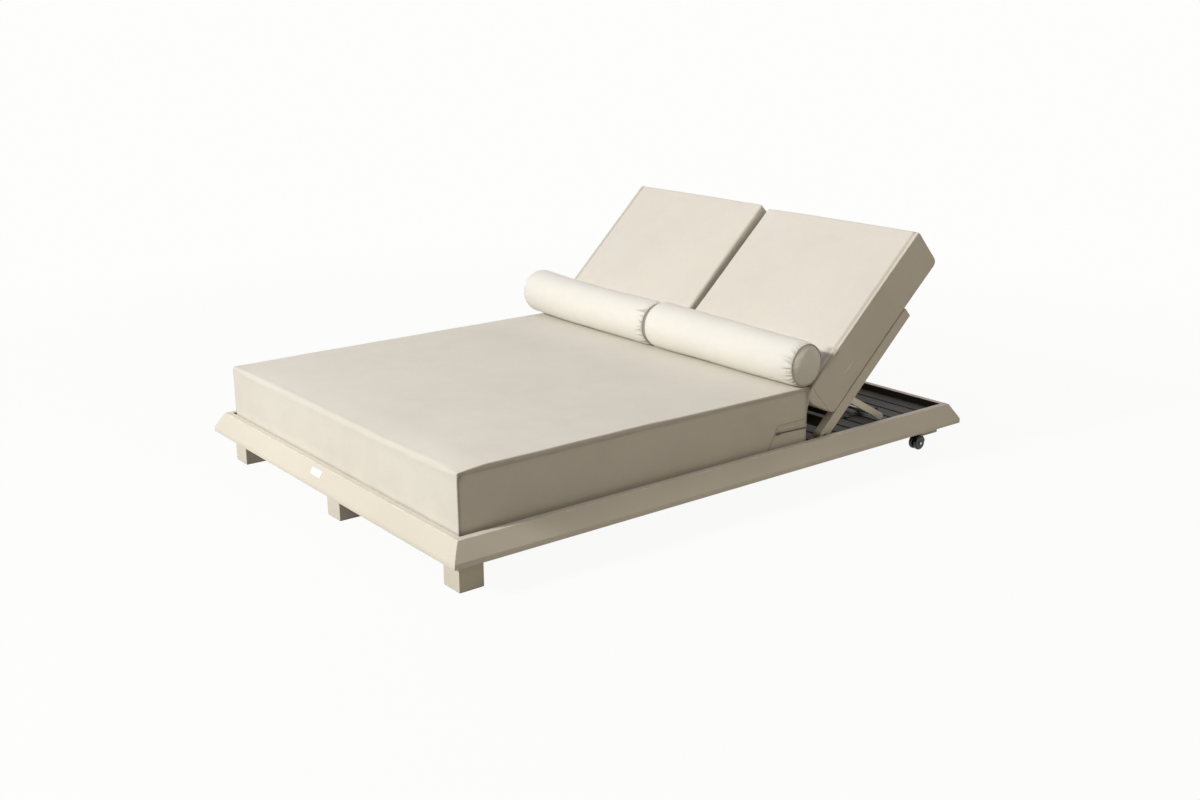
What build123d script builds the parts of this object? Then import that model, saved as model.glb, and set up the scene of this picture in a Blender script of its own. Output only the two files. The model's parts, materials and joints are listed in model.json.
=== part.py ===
from build123d import *
from math import cos, radians, sin, sqrt
import os

os.makedirs("parts", exist_ok=True)

# A double chaise lounger. Origin on the ground under the middle of the base frame, +Z up, +Y towards
# the head end, +X to the right of someone who lies on it. Every length is in millimetres.

# Base frame
frame_width = 1600.0
frame_length = 2158.0
frame_underside = 102.0
rail_height = 70.0
rail_band_height = 17.0
rail_slope_run = 31.0
rail_lip_width = 22.0
rail_wall = 3.0
rail_width = rail_slope_run + rail_lip_width
rail_top = frame_underside + rail_height
half_width = frame_width / 2
half_length = frame_length / 2
well_half_width = half_width - rail_width
well_half_length = half_length - rail_width

# Corner keys
key_width = 24.0
key_height = 30.0
key_arm = 110.0

# Deck
slat_top = 148.0
slat_thickness = 20.0
slat_wall = 1.5
slat_gap = 8.0
slat_pitch_wanted = 68.0
slat_end_clearance = 1.0
slat_edge_radius = 2.0
slat_underside = slat_top - slat_thickness
beam_depth = slat_underside - frame_underside
cross_beam_width = 86.0
beam_wall = 3.0
centre_beam_width = 40.0
bearer_width = 14.0
hinge_beam_width = 60.0
hinge_beam_wall = 3.0

# Slat screws
slat_screw_inset = 5.0
slat_screw_radius = 2.0
slat_screw_fit = 0.05
slat_screw_bite = 8.0
slat_screw_tip_gap = 0.5
slat_screw_head = 3.5
slat_screw_head_height = 1.2

# Feet and rear blocks
foot_size = 82.0
foot_side_inset = 60.0
foot_end_inset = 50.0
foot_wall = 4.0
foot_pad_height = 2.0
foot_pad_inset = 2.0
foot_edge_radius = 1.5
caster_block_height = 40.0
foot_outer_x = half_width - foot_side_inset - foot_size / 2
foot_xs = (-foot_outer_x, 0.0, foot_outer_x)
foot_names = ("left", "middle", "right")
foot_y = -half_length + foot_end_inset + foot_size / 2
caster_y = -foot_y

# Casters
caster_height = frame_underside - caster_block_height
caster_plate_size = 54.0
caster_plate_thickness = 3.0
caster_plate_corner = 5.0
caster_wheel_radius = 25.0
caster_wheel_width = 14.0
caster_wheel_edge = 5.0
caster_wheel_gap = 0.5
caster_hub_radius = 9.0
caster_hub_rise = 1.5
caster_trail = 20.0
caster_web_width = 7.0
caster_axle_radius = 3.0
caster_axle_fit = 0.05
caster_axle_head_radius = 5.0
caster_axle_head_height = 1.5
caster_hood_wall = 2.0
caster_hood_gap = 1.0
caster_hood_side_inset = 2.5
caster_stem_radius = 11.0
caster_stem_lift = 2.2
caster_neck_radius = 14.0
caster_neck_gap = 0.3
caster_neck_floor = 1.6
hood_front_share = 0.1

# Seat cushion
seat_side_gap = 12.0
seat_front_gap = 4.0
seat_hinge_distance = 86.0
seat_thickness = 197.7
seat_crown = 4.0
seat_side_draw = 5.0
seat_side_bulge = 2.5
cushion_rest_gap = 0.3
cushion_corner = 22.0
cushion_end_round = 14.0
end_round_shares = ((0.0, 0.62), (0.28, 0.26), (1.0, 0.0))
body_station_shares = (0.12, 0.3, 0.5, 0.7, 0.88)
end_crown_share = 0.6

# Back frames
hinge_head_distance = 649.0
back_rest_angles = {"right": 42.7, "left": 44.2}
back_highest_angle = 54.7
back_side_gap = 12.0
back_middle_gap = 20.0
tube_width = 30.0
tube_depth = 38.0
tube_wall = 2.5
tube_length = 543.0
tube_end_wall = 26.0
tube_deck_gap = 1.0
end_cap_depth = 16.0
end_cap_clearance = 0.1
top_rail_width = 30.0
bottom_rail_start = 26.0
bottom_rail_width = 30.0
bottom_rail_depth = 24.0
back_slat_thickness = 5.0
back_slat_width = 56.0
back_slat_count = 6
back_slat_end_gap = 8.0
hinge_y = half_length - hinge_head_distance
hinge_z = slat_top + tube_deck_gap + tube_depth / 2
back_outer_face = well_half_width - back_side_gap
back_inner_face = back_middle_gap / 2

# Hinges
hinge_pin_radius = 5.0
hinge_pin_fit = 0.05
hinge_pin_head_radius = 8.0
hinge_pin_head_height = 2.5
hinge_ear_thickness = 6.0
hinge_ear_radius = 14.0
hinge_ear_foot = 44.0
hinge_ear_gap = 0.6

# Props
prop_pivot = 166.0
prop_length = 232.5
prop_leg_depth = 24.0
prop_leg_width = 14.0
prop_leg_gap = 1.0
prop_rod_radius = 8.0
prop_rod_fit = 0.05
prop_rod_end_cover = 4.0
prop_pin_radius = 4.0
prop_pin_head_radius = 8.0
prop_pin_head_height = 2.0
prop_pin_stop_gap = 0.4
prop_angle_share = 0.693

# Racks
rack_width = 16.0
rack_inset = 90.0
rack_tip_gap = 0.7
rack_end_cover = 22.0
rack_notch_clearance = 0.3
rack_notch_drop = 3.0
rack_angles = (12.0, 28.0, 54.7)
rack_path_steps = 12

# Back cushions
back_cushion_length = 680.0
back_cushion_thickness = 160.0
back_cushion_middle_gap = 10.0
back_cushion_crown = 4.0
back_cushion_head_drop = 12.0
back_cushion_side_draw = 4.0
back_cushion_side_bulge = 2.0
back_cushion_flat_gap = 1.9
back_cushion_full_slide = 197.467
back_cushion_slide_per_degree = back_cushion_full_slide / back_highest_angle
head_drop_start_share = 0.3

# Bolsters
left_bolster_radius = 79.0
right_bolster_radius = 76.0
bolster_side_overhang = 10.0
bolster_middle_gap = 6.0
bolster_end_bulge = 6.0
bolster_piping_radius = 3.0
bolster_neck_drop = 4.0
bolster_neck_length = 26.0
bolster_barrel_swell = 1.5
bolster_back_gap = 0.35
bolster_seat_gap = 2.0
bolster_back_place_share = 0.12
bolster_seat_place_share = 0.96

# Small trim
plate_width = 68.0
plate_height = 22.0
plate_thickness = 1.0
plate_corner = 2.0
plate_centre_x = -39.0
plate_centre_share = 0.57
zip_pull_length = 22.0
zip_pull_width = 7.0
zip_pull_thickness = 2.5
zip_pull_from_rear = 136.0
zip_pull_rise = 67.7
zip_pull_gap = 0.4

# One overrun serves every cut that runs out into the open
cut_overrun = 10.0


def save(part, name):
    """Labels a finished piece and writes it under the same name."""
    part.label = name
    export_step(part, f"parts/{name}.step")


def save_side(part, side, piece):
    """Writes a piece of one back. Each is made on the right side, and mirrored for the left."""
    if side == "left":
        part = part.mirror(Plane.YZ)
    save(part, f"{side}_{piece}")


def slat_row(start, end):
    """Centre lines and width of the slats that fill a stretch of the deck."""
    count = round((end - start + slat_gap) / slat_pitch_wanted)
    pitch = (end - start + slat_gap) / count
    width = pitch - slat_gap
    return [start + width / 2 + pitch * i for i in range(count)], width


def tube_section(width, depth, wall, edge_radius=0):
    """A hollow rectangular section in the current sketch."""
    if edge_radius:
        RectangleRounded(width, depth, edge_radius)
    else:
        Rectangle(width, depth)
    Rectangle(width - 2 * wall, depth - 2 * wall, mode=Mode.SUBTRACT)


# Base frame rails, mitred at the corners
def make_rail(name, turn, length, reach):
    """One hollow rail. It is made on the right side, along Y, and turned about Z into its place."""
    with BuildPart() as rail:
        with BuildSketch(Plane.XZ.offset(-length / 2)):
            with BuildLine():
                Polyline(
                    (reach, frame_underside),
                    (reach - rail_width, frame_underside),
                    (reach - rail_width, rail_top),
                    (reach - rail_slope_run, rail_top),
                    (reach, frame_underside + rail_band_height),
                    close=True,
                )
            make_face()
            offset(amount=-rail_wall, mode=Mode.SUBTRACT)
        extrude(amount=length)
        for end in (1, -1):
            mitre = Plane(origin=(reach, end * length / 2, 0), x_dir=(0, 0, 1), z_dir=(-1, end, 0))
            split(bisect_by=mitre, keep=Keep.BOTTOM)
    save(rail.part.rotate(Axis.Z, turn), name)


make_rail("right_rail", 0, frame_length, half_width)
make_rail("rear_rail", 90, frame_width, half_length)
make_rail("left_rail", 180, frame_length, half_width)
make_rail("front_rail", 270, frame_width, half_length)

# Corner keys, pushed into the hollow rails across each mitre
key_inner = rail_width - rail_wall
key_outer = key_inner - key_width
with BuildPart() as corner_keys:
    with BuildSketch(Plane.XY.offset(frame_underside + rail_wall)):
        for side_x in (1, -1):
            for side_y in (1, -1):
                with BuildLine():
                    Polyline(
                        (side_x * (half_width - key_outer), side_y * (half_length - key_outer)),
                        (side_x * (half_width - key_outer), side_y * (half_length - key_arm)),
                        (side_x * (half_width - key_inner), side_y * (half_length - key_arm)),
                        (side_x * (half_width - key_inner), side_y * (half_length - key_inner)),
                        (side_x * (half_width - key_arm), side_y * (half_length - key_inner)),
                        (side_x * (half_width - key_arm), side_y * (half_length - key_outer)),
                        close=True,
                    )
                make_face()
    extrude(amount=key_height)
save(corner_keys.part, "corner_keys")

# Beams under the deck
beam_centre_z = frame_underside + beam_depth / 2
cross_beam_y = well_half_length - cross_beam_width / 2
centre_beam_length = 2 * (well_half_length - cross_beam_width)
for name, place in (("front_cross_beam", -cross_beam_y), ("rear_cross_beam", cross_beam_y)):
    with BuildPart() as cross_beam:
        with BuildSketch(Plane.YZ.offset(-well_half_width)):
            with Locations((place, beam_centre_z)):
                tube_section(cross_beam_width, beam_depth, beam_wall)
        extrude(amount=2 * well_half_width)
    save(cross_beam.part, name)

with BuildPart() as centre_beam:
    with BuildSketch(Plane.XZ.offset(-centre_beam_length / 2)):
        with Locations((0, beam_centre_z)):
            tube_section(centre_beam_width, beam_depth, beam_wall)
    extrude(amount=centre_beam_length)
save(centre_beam.part, "centre_beam")

# Slats, the bearers under their ends and the screws that hold them down
seat_slat_start = -(well_half_length - slat_end_clearance)
hinge_beam_front = hinge_y - hinge_beam_width / 2
hinge_beam_rear = hinge_y + hinge_beam_width / 2
seat_slat_ys, seat_slat_width = slat_row(seat_slat_start, hinge_beam_front - slat_gap)
rear_slat_ys, rear_slat_width = slat_row(hinge_beam_rear + slat_gap, -seat_slat_start)
slat_length = 2 * (well_half_width - slat_end_clearance)
slat_centre_z = slat_underside + slat_thickness / 2
screw_x = well_half_width - slat_end_clearance - slat_screw_inset
screw_limit = centre_beam_length / 2 - slat_screw_head
screw_ys = [y for y in seat_slat_ys + rear_slat_ys if abs(y) < screw_limit]
screw_places = [(end * screw_x, y, slat_top) for end in (1, -1) for y in screw_ys]
screw_hole_radius = slat_screw_radius + slat_screw_fit

for name, ys, width in (
    ("seat_slats", seat_slat_ys, seat_slat_width),
    ("rear_slats", rear_slat_ys, rear_slat_width),
):
    with BuildPart() as slats:
        with BuildSketch(Plane.YZ.offset(-slat_length / 2)):
            with Locations(*[(y, slat_centre_z) for y in ys]):
                tube_section(width, slat_thickness, slat_wall, slat_edge_radius)
        extrude(amount=slat_length)
        with Locations(*[place for place in screw_places if place[1] in ys]):
            Hole(radius=screw_hole_radius, depth=slat_thickness)
    save(slats.part, name)

with BuildPart() as hinge_beam:
    with BuildSketch(Plane.YZ.offset(-slat_length / 2)):
        with Locations((hinge_y, slat_centre_z)):
            tube_section(hinge_beam_width, slat_thickness, hinge_beam_wall)
    extrude(amount=slat_length)
save(hinge_beam.part, "hinge_beam")

with BuildPart() as slat_bearers:
    with BuildSketch(Plane.XY.offset(frame_underside)):
        for end in (1, -1):
            with Locations((end * (well_half_width - bearer_width / 2), 0)):
                Rectangle(bearer_width, centre_beam_length)
    extrude(amount=beam_depth)
    with Locations(*[(x, y, slat_underside) for x, y, _ in screw_places]):
        Hole(radius=screw_hole_radius, depth=slat_screw_bite + slat_screw_tip_gap)
save(slat_bearers.part, "slat_bearers")

with BuildPart() as slat_screws:
    with BuildSketch(Plane.XY.offset(slat_top)):
        with Locations(*[(x, y) for x, y, _ in screw_places]):
            Circle(slat_screw_head)
    extrude(amount=slat_screw_head_height)
    with BuildSketch(Plane.XY.offset(slat_top)):
        with Locations(*[(x, y) for x, y, _ in screw_places]):
            Circle(slat_screw_radius)
    extrude(amount=-(slat_thickness + slat_screw_bite))
save(slat_screws.part, "slat_screws")

# Front feet, hollow and closed at the top, with a plastic pad under each
for name, x in zip(foot_names, foot_xs):
    with BuildPart() as foot:
        with BuildSketch(Plane.XY.offset(foot_pad_height)):
            with Locations((x, foot_y)):
                RectangleRounded(foot_size, foot_size, foot_edge_radius)
        extrude(amount=frame_underside - foot_pad_height)
        with BuildSketch(Plane.XY.offset(foot_pad_height)):
            with Locations((x, foot_y)):
                Rectangle(foot_size - 2 * foot_wall, foot_size - 2 * foot_wall)
        extrude(amount=frame_underside - foot_pad_height - foot_wall, mode=Mode.SUBTRACT)
    save(foot.part, f"{name}_foot")

pad_size = foot_size - 2 * foot_pad_inset
with BuildPart() as foot_pads:
    with BuildSketch():
        with Locations(*[(x, foot_y) for x in foot_xs]):
            Rectangle(pad_size, pad_size)
    extrude(amount=foot_pad_height)
save(foot_pads.part, "foot_pads")

# Rear blocks that carry the casters
with BuildPart() as caster_blocks:
    with BuildSketch(Plane.XY.offset(caster_height)):
        with Locations(*[(x, caster_y) for x in foot_xs]):
            RectangleRounded(foot_size, foot_size, foot_edge_radius)
    extrude(amount=caster_block_height)
save(caster_blocks.part, "caster_blocks")

# Casters: a fixed plate with its stem, a hood that swivels on the stem, and two wheels on one axle
caster_plate_underside = caster_height - caster_plate_thickness
caster_hood_top = caster_plate_underside - caster_neck_gap
caster_stem_end = caster_wheel_radius * 2 + caster_stem_lift
wheel_inner = caster_web_width / 2 + caster_wheel_gap
wheel_outer = wheel_inner + caster_wheel_width
axle_hole_radius = caster_axle_radius + caster_axle_fit
hood_half_width = wheel_outer - caster_hood_side_inset
hood_cut_reach = 2 * caster_wheel_radius + cut_overrun
wheel_y = caster_y - caster_trail

with BuildPart() as caster_plates:
    with BuildSketch(Plane.XY.offset(caster_plate_underside)):
        with Locations(*[(x, caster_y) for x in foot_xs]):
            RectangleRounded(caster_plate_size, caster_plate_size, caster_plate_corner)
    extrude(amount=caster_plate_thickness)
    with BuildSketch(Plane.XY.offset(caster_plate_underside)):
        with Locations(*[(x, caster_y) for x in foot_xs]):
            Circle(caster_stem_radius)
    extrude(amount=-(caster_plate_underside - caster_stem_end))
save(caster_plates.part, "caster_plates")

for name, x in zip(foot_names, foot_xs):
    with BuildPart() as hood:
        with BuildSketch(Plane.YZ.offset(x - hood_half_width)):
            with Locations((wheel_y, caster_wheel_radius)):
                Circle(caster_wheel_radius + caster_hood_gap + caster_hood_wall)
                Circle(caster_wheel_radius + caster_hood_gap, mode=Mode.SUBTRACT)
            with BuildLine():
                Polyline(
                    (wheel_y, caster_wheel_radius),
                    (wheel_y - hood_cut_reach, caster_wheel_radius + hood_cut_reach),
                    (wheel_y - hood_cut_reach, -hood_cut_reach),
                    (wheel_y + hood_cut_reach, -hood_cut_reach),
                    (wheel_y + hood_cut_reach, caster_wheel_radius + hood_cut_reach * hood_front_share),
                    close=True,
                )
            make_face(mode=Mode.SUBTRACT)
        extrude(amount=2 * hood_half_width)
        with BuildSketch(Plane.YZ.offset(x - caster_web_width / 2)):
            with Locations((wheel_y, caster_wheel_radius)):
                Circle(caster_hub_radius)
            with BuildLine():
                Polyline(
                    (wheel_y - caster_hub_radius, caster_wheel_radius),
                    (caster_y - caster_neck_radius, caster_hood_top),
                    (caster_y + caster_neck_radius, caster_hood_top),
                    (caster_y + caster_neck_radius, caster_hood_top - caster_neck_radius),
                    (wheel_y, caster_wheel_radius - caster_hub_radius),
                    close=True,
                )
            make_face()
        extrude(amount=caster_web_width)
        with BuildSketch(Plane.XY.offset(caster_hood_top)):
            with Locations((x, caster_y)):
                Circle(caster_neck_radius)
        extrude(amount=-(caster_hood_top - caster_stem_end + caster_neck_floor))
        with BuildSketch(Plane.XY.offset(caster_hood_top)):
            with Locations((x, caster_y)):
                Circle(caster_stem_radius + caster_axle_fit)
        extrude(amount=-(caster_hood_top - caster_stem_end + caster_neck_gap), mode=Mode.SUBTRACT)
        with BuildSketch(Plane.YZ.offset(x - caster_web_width / 2)):
            with Locations((wheel_y, caster_wheel_radius)):
                Circle(axle_hole_radius)
        extrude(amount=caster_web_width, mode=Mode.SUBTRACT)
    save(hood.part, f"{name}_caster_hood")

    with BuildPart() as wheels:
        for hand in (1, -1):
            with BuildSketch(Plane.YZ.offset(x + hand * wheel_inner)):
                with Locations((wheel_y, caster_wheel_radius)):
                    Circle(caster_wheel_radius)
            extrude(amount=hand * caster_wheel_width)
        rims = wheels.edges().filter_by(GeomType.CIRCLE)
        fillet(rims, caster_wheel_edge)
        for hand in (1, -1):
            with BuildSketch(Plane.YZ.offset(x + hand * wheel_outer)):
                with Locations((wheel_y, caster_wheel_radius)):
                    Circle(caster_hub_radius)
            extrude(amount=hand * caster_hub_rise)
            with BuildSketch(Plane.YZ.offset(x + hand * wheel_inner)):
                with Locations((wheel_y, caster_wheel_radius)):
                    Circle(axle_hole_radius)
            extrude(amount=hand * (caster_wheel_width + caster_hub_rise), mode=Mode.SUBTRACT)
    save(wheels.part, f"{name}_caster_wheels")

    axle_half = wheel_outer + caster_hub_rise + caster_axle_fit
    with BuildPart() as axle:
        with BuildSketch(Plane.YZ.offset(x - axle_half)):
            with Locations((wheel_y, caster_wheel_radius)):
                Circle(caster_axle_radius)
        extrude(amount=2 * axle_half)
        for hand in (1, -1):
            with BuildSketch(Plane.YZ.offset(x + hand * axle_half)):
                with Locations((wheel_y, caster_wheel_radius)):
                    Circle(caster_axle_head_radius)
            extrude(amount=hand * caster_axle_head_height)
    save(axle.part, f"{name}_caster_axle")

# Blank plate on the front rail's slope
slope_rise = rail_height - rail_band_height
plate_place = Plane(
    origin=(
        plate_centre_x,
        -half_length + rail_slope_run * plate_centre_share,
        frame_underside + rail_band_height + slope_rise * plate_centre_share,
    ),
    x_dir=(1, 0, 0),
    z_dir=(0, -slope_rise, rail_slope_run),
)
with BuildPart() as name_plate:
    with BuildSketch(plate_place):
        RectangleRounded(plate_width, plate_height, plate_corner)
    extrude(amount=plate_thickness)
save(name_plate.part, "name_plate")


# Cushions: a closed form of cross-sections set along its length
def crown_rise(crown, fullness):
    """How far the middle of the face stands above its edges."""
    return crown * (end_crown_share + (1 - end_crown_share) * fullness)


def cushion_section(half, bottom, top, crown, fullness, corner, bulge):
    """One cross-section, x across the cushion and y square to it. Fullness is 0 at its ends, 1 midway."""
    diagonal = corner * (1 - cos(radians(45)))
    rise = crown_rise(crown, fullness)
    middle = (bottom + top) / 2
    with BuildLine() as outline:
        Line((-half + corner, bottom), (half - corner, bottom))
        ThreePointArc(
            (half - corner, bottom), (half - diagonal, bottom + diagonal), (half, bottom + corner)
        )
        ThreePointArc((half, bottom + corner), (half + bulge, middle), (half, top - corner))
        ThreePointArc((half, top - corner), (half - diagonal, top - diagonal), (half - corner, top))
        ThreePointArc((half - corner, top), (0, top + rise), (-half + corner, top))
        ThreePointArc((-half + corner, top), (-half + diagonal, top - diagonal), (-half, top - corner))
        ThreePointArc((-half, top - corner), (-half - bulge, middle), (-half, bottom + corner))
        ThreePointArc(
            (-half, bottom + corner), (-half + diagonal, bottom + diagonal), (-half + corner, bottom)
        )
    make_face(outline.edges())


def cushion_stations(length):
    """Distance along the cushion, inset of its rounded end there, and how full the cushion is there."""
    near = [(along * cushion_end_round, inset * cushion_end_round) for along, inset in end_round_shares]
    stations = [(along, inset) for along, inset in near]
    stations += [(share * length, 0) for share in body_station_shares]
    stations += [(length - along, inset) for along, inset in reversed(near)]
    return [(along, inset, sin(radians(180 * along / length))) for along, inset in stations]


# Seat cushion
seat_width = 2 * (well_half_width - seat_side_gap)
seat_front = -well_half_length + seat_front_gap
seat_rear = hinge_y - seat_hinge_distance
seat_length = seat_rear - seat_front
seat_bottom = slat_top + cushion_rest_gap
seat_edge_top = seat_bottom + seat_thickness
with BuildPart() as seat_cushion:
    for along, inset, fullness in cushion_stations(seat_length):
        with BuildSketch(Plane(origin=(0, seat_front + along, 0), x_dir=(-1, 0, 0), z_dir=(0, 1, 0))):
            cushion_section(
                seat_width / 2 - inset - seat_side_draw * fullness,
                seat_bottom + inset,
                seat_edge_top - inset,
                seat_crown,
                fullness,
                cushion_corner,
                seat_side_bulge,
            )
    loft(ruled=True)
save(seat_cushion.part, "seat_cushion")

# Pull of the seat cushion's zip, just off its right side
zip_pull_y = seat_rear - zip_pull_from_rear
zip_pull_z = seat_bottom + zip_pull_rise
zip_fullness = sin(radians(180 * (zip_pull_y - seat_front) / seat_length))
zip_face = seat_width / 2 - seat_side_draw * zip_fullness + seat_side_bulge + zip_pull_gap
with BuildPart() as seat_zip_pull:
    with BuildSketch(Plane.YZ.offset(zip_face)):
        with Locations((zip_pull_y, zip_pull_z)):
            SlotOverall(zip_pull_length, zip_pull_width)
    extrude(amount=zip_pull_thickness)
save(seat_zip_pull.part, "seat_zip_pull")


# Hinge brackets on the hinge beam, one beside each tube of the two backs
ear_spans = []
for side_x in (1, -1):
    ear_spans.append(side_x * (back_outer_face - tube_width - hinge_ear_gap - hinge_ear_thickness / 2))
    ear_spans.append(side_x * (back_inner_face + tube_width + hinge_ear_gap + hinge_ear_thickness / 2))
with BuildPart() as hinge_brackets:
    for x in ear_spans:
        with BuildSketch(Plane.YZ.offset(x - hinge_ear_thickness / 2)):
            with Locations((hinge_y, hinge_z)):
                Circle(hinge_ear_radius)
            with BuildLine():
                Polyline(
                    (hinge_y - hinge_ear_foot / 2, slat_top),
                    (hinge_y + hinge_ear_foot / 2, slat_top),
                    (hinge_y + hinge_ear_radius, hinge_z),
                    (hinge_y - hinge_ear_radius, hinge_z),
                    close=True,
                )
            make_face()
            with Locations((hinge_y, hinge_z)):
                Circle(hinge_pin_radius + hinge_pin_fit, mode=Mode.SUBTRACT)
        extrude(amount=hinge_ear_thickness)
save(hinge_brackets.part, "hinge_brackets")


# Where the prop's rod runs as a back is raised
def prop_angle(back_angle):
    """Slope of the prop below the horizontal, in degrees: none when the back lies flat."""
    return prop_angle_share * back_angle


def rod_place(back_angle):
    """Y and Z of the rod's centre."""
    lift = radians(back_angle)
    drop = radians(prop_angle(back_angle))
    return (
        hinge_y + prop_pivot * cos(lift) + prop_length * cos(drop),
        hinge_z + prop_pivot * sin(lift) - prop_length * sin(drop),
    )


# Notched racks on the deck, two under each prop
rack_reach = prop_rod_radius + rack_tip_gap
leg_outer_high = back_outer_face - tube_width - prop_leg_gap
leg_inner_low = back_inner_face + tube_width + prop_leg_gap
rack_xs = (leg_inner_low + prop_leg_width + rack_inset, leg_outer_high - prop_leg_width - rack_inset)
with BuildPart() as prop_racks:
    for side, side_x in (("right", 1), ("left", -1)):
        angles = [back_highest_angle * (1 - i / rack_path_steps) for i in range(rack_path_steps + 1)]
        path = [rod_place(angle) for angle in angles]
        tips = [(y, z - rack_reach) for y, z in path]
        first = (tips[0][0] - rack_end_cover, tips[0][1])
        last = (tips[-1][0] + rack_end_cover, tips[-1][1])
        for x in rack_xs:
            with BuildSketch(Plane.YZ.offset(side_x * x - rack_width / 2)):
                with BuildLine():
                    Polyline((first[0], slat_top), first, *tips, last, (last[0], slat_top), close=True)
                make_face()
                for angle in (*rack_angles, back_rest_angles[side]):
                    y, z = rod_place(angle)
                    with Locations((y, z - rack_notch_drop)):
                        Circle(prop_rod_radius + rack_notch_clearance, mode=Mode.SUBTRACT)
            extrude(amount=rack_width)
save(prop_racks.part, "prop_racks")


# Backs. Along a back, u runs up from the hinge and v stands square to it, towards the cushion
def back_plane(angle, x):
    """Side view of a back at one X: local x is u and local y is v."""
    return Plane(
        origin=(x, hinge_y, hinge_z),
        x_dir=(0, cos(radians(angle)), sin(radians(angle))),
        z_dir=(1, 0, 0),
    )


def back_point(angle, u, v):
    """Y and Z of a point of a back."""
    lift = radians(angle)
    return hinge_y + u * cos(lift) - v * sin(lift), hinge_z + u * sin(lift) + v * cos(lift)


def prop_plane(angle, x):
    """Side view of a prop at one X: local x runs from its pivot to its rod."""
    y, z = back_point(angle, prop_pivot, 0)
    drop = radians(prop_angle(angle))
    return Plane(origin=(x, y, z), x_dir=(0, cos(drop), -sin(drop)), z_dir=(1, 0, 0))


tube_spans = {
    "outer": (back_outer_face - tube_width, back_outer_face),
    "inner": (back_inner_face, back_inner_face + tube_width),
}
infill_low = back_inner_face + tube_width
infill_high = back_outer_face - tube_width
tube_face = tube_depth / 2
cavity_depth = tube_depth - 2 * tube_wall
cavity_width = tube_width - 2 * tube_wall
cushion_v = tube_face + cushion_rest_gap
back_rise = crown_rise(back_cushion_crown, sin(radians(180 * bolster_back_place_share)))
seat_rise = crown_rise(seat_crown, sin(radians(180 * bolster_seat_place_share)))
bolster_radii = {"left": left_bolster_radius, "right": right_bolster_radius}

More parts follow.
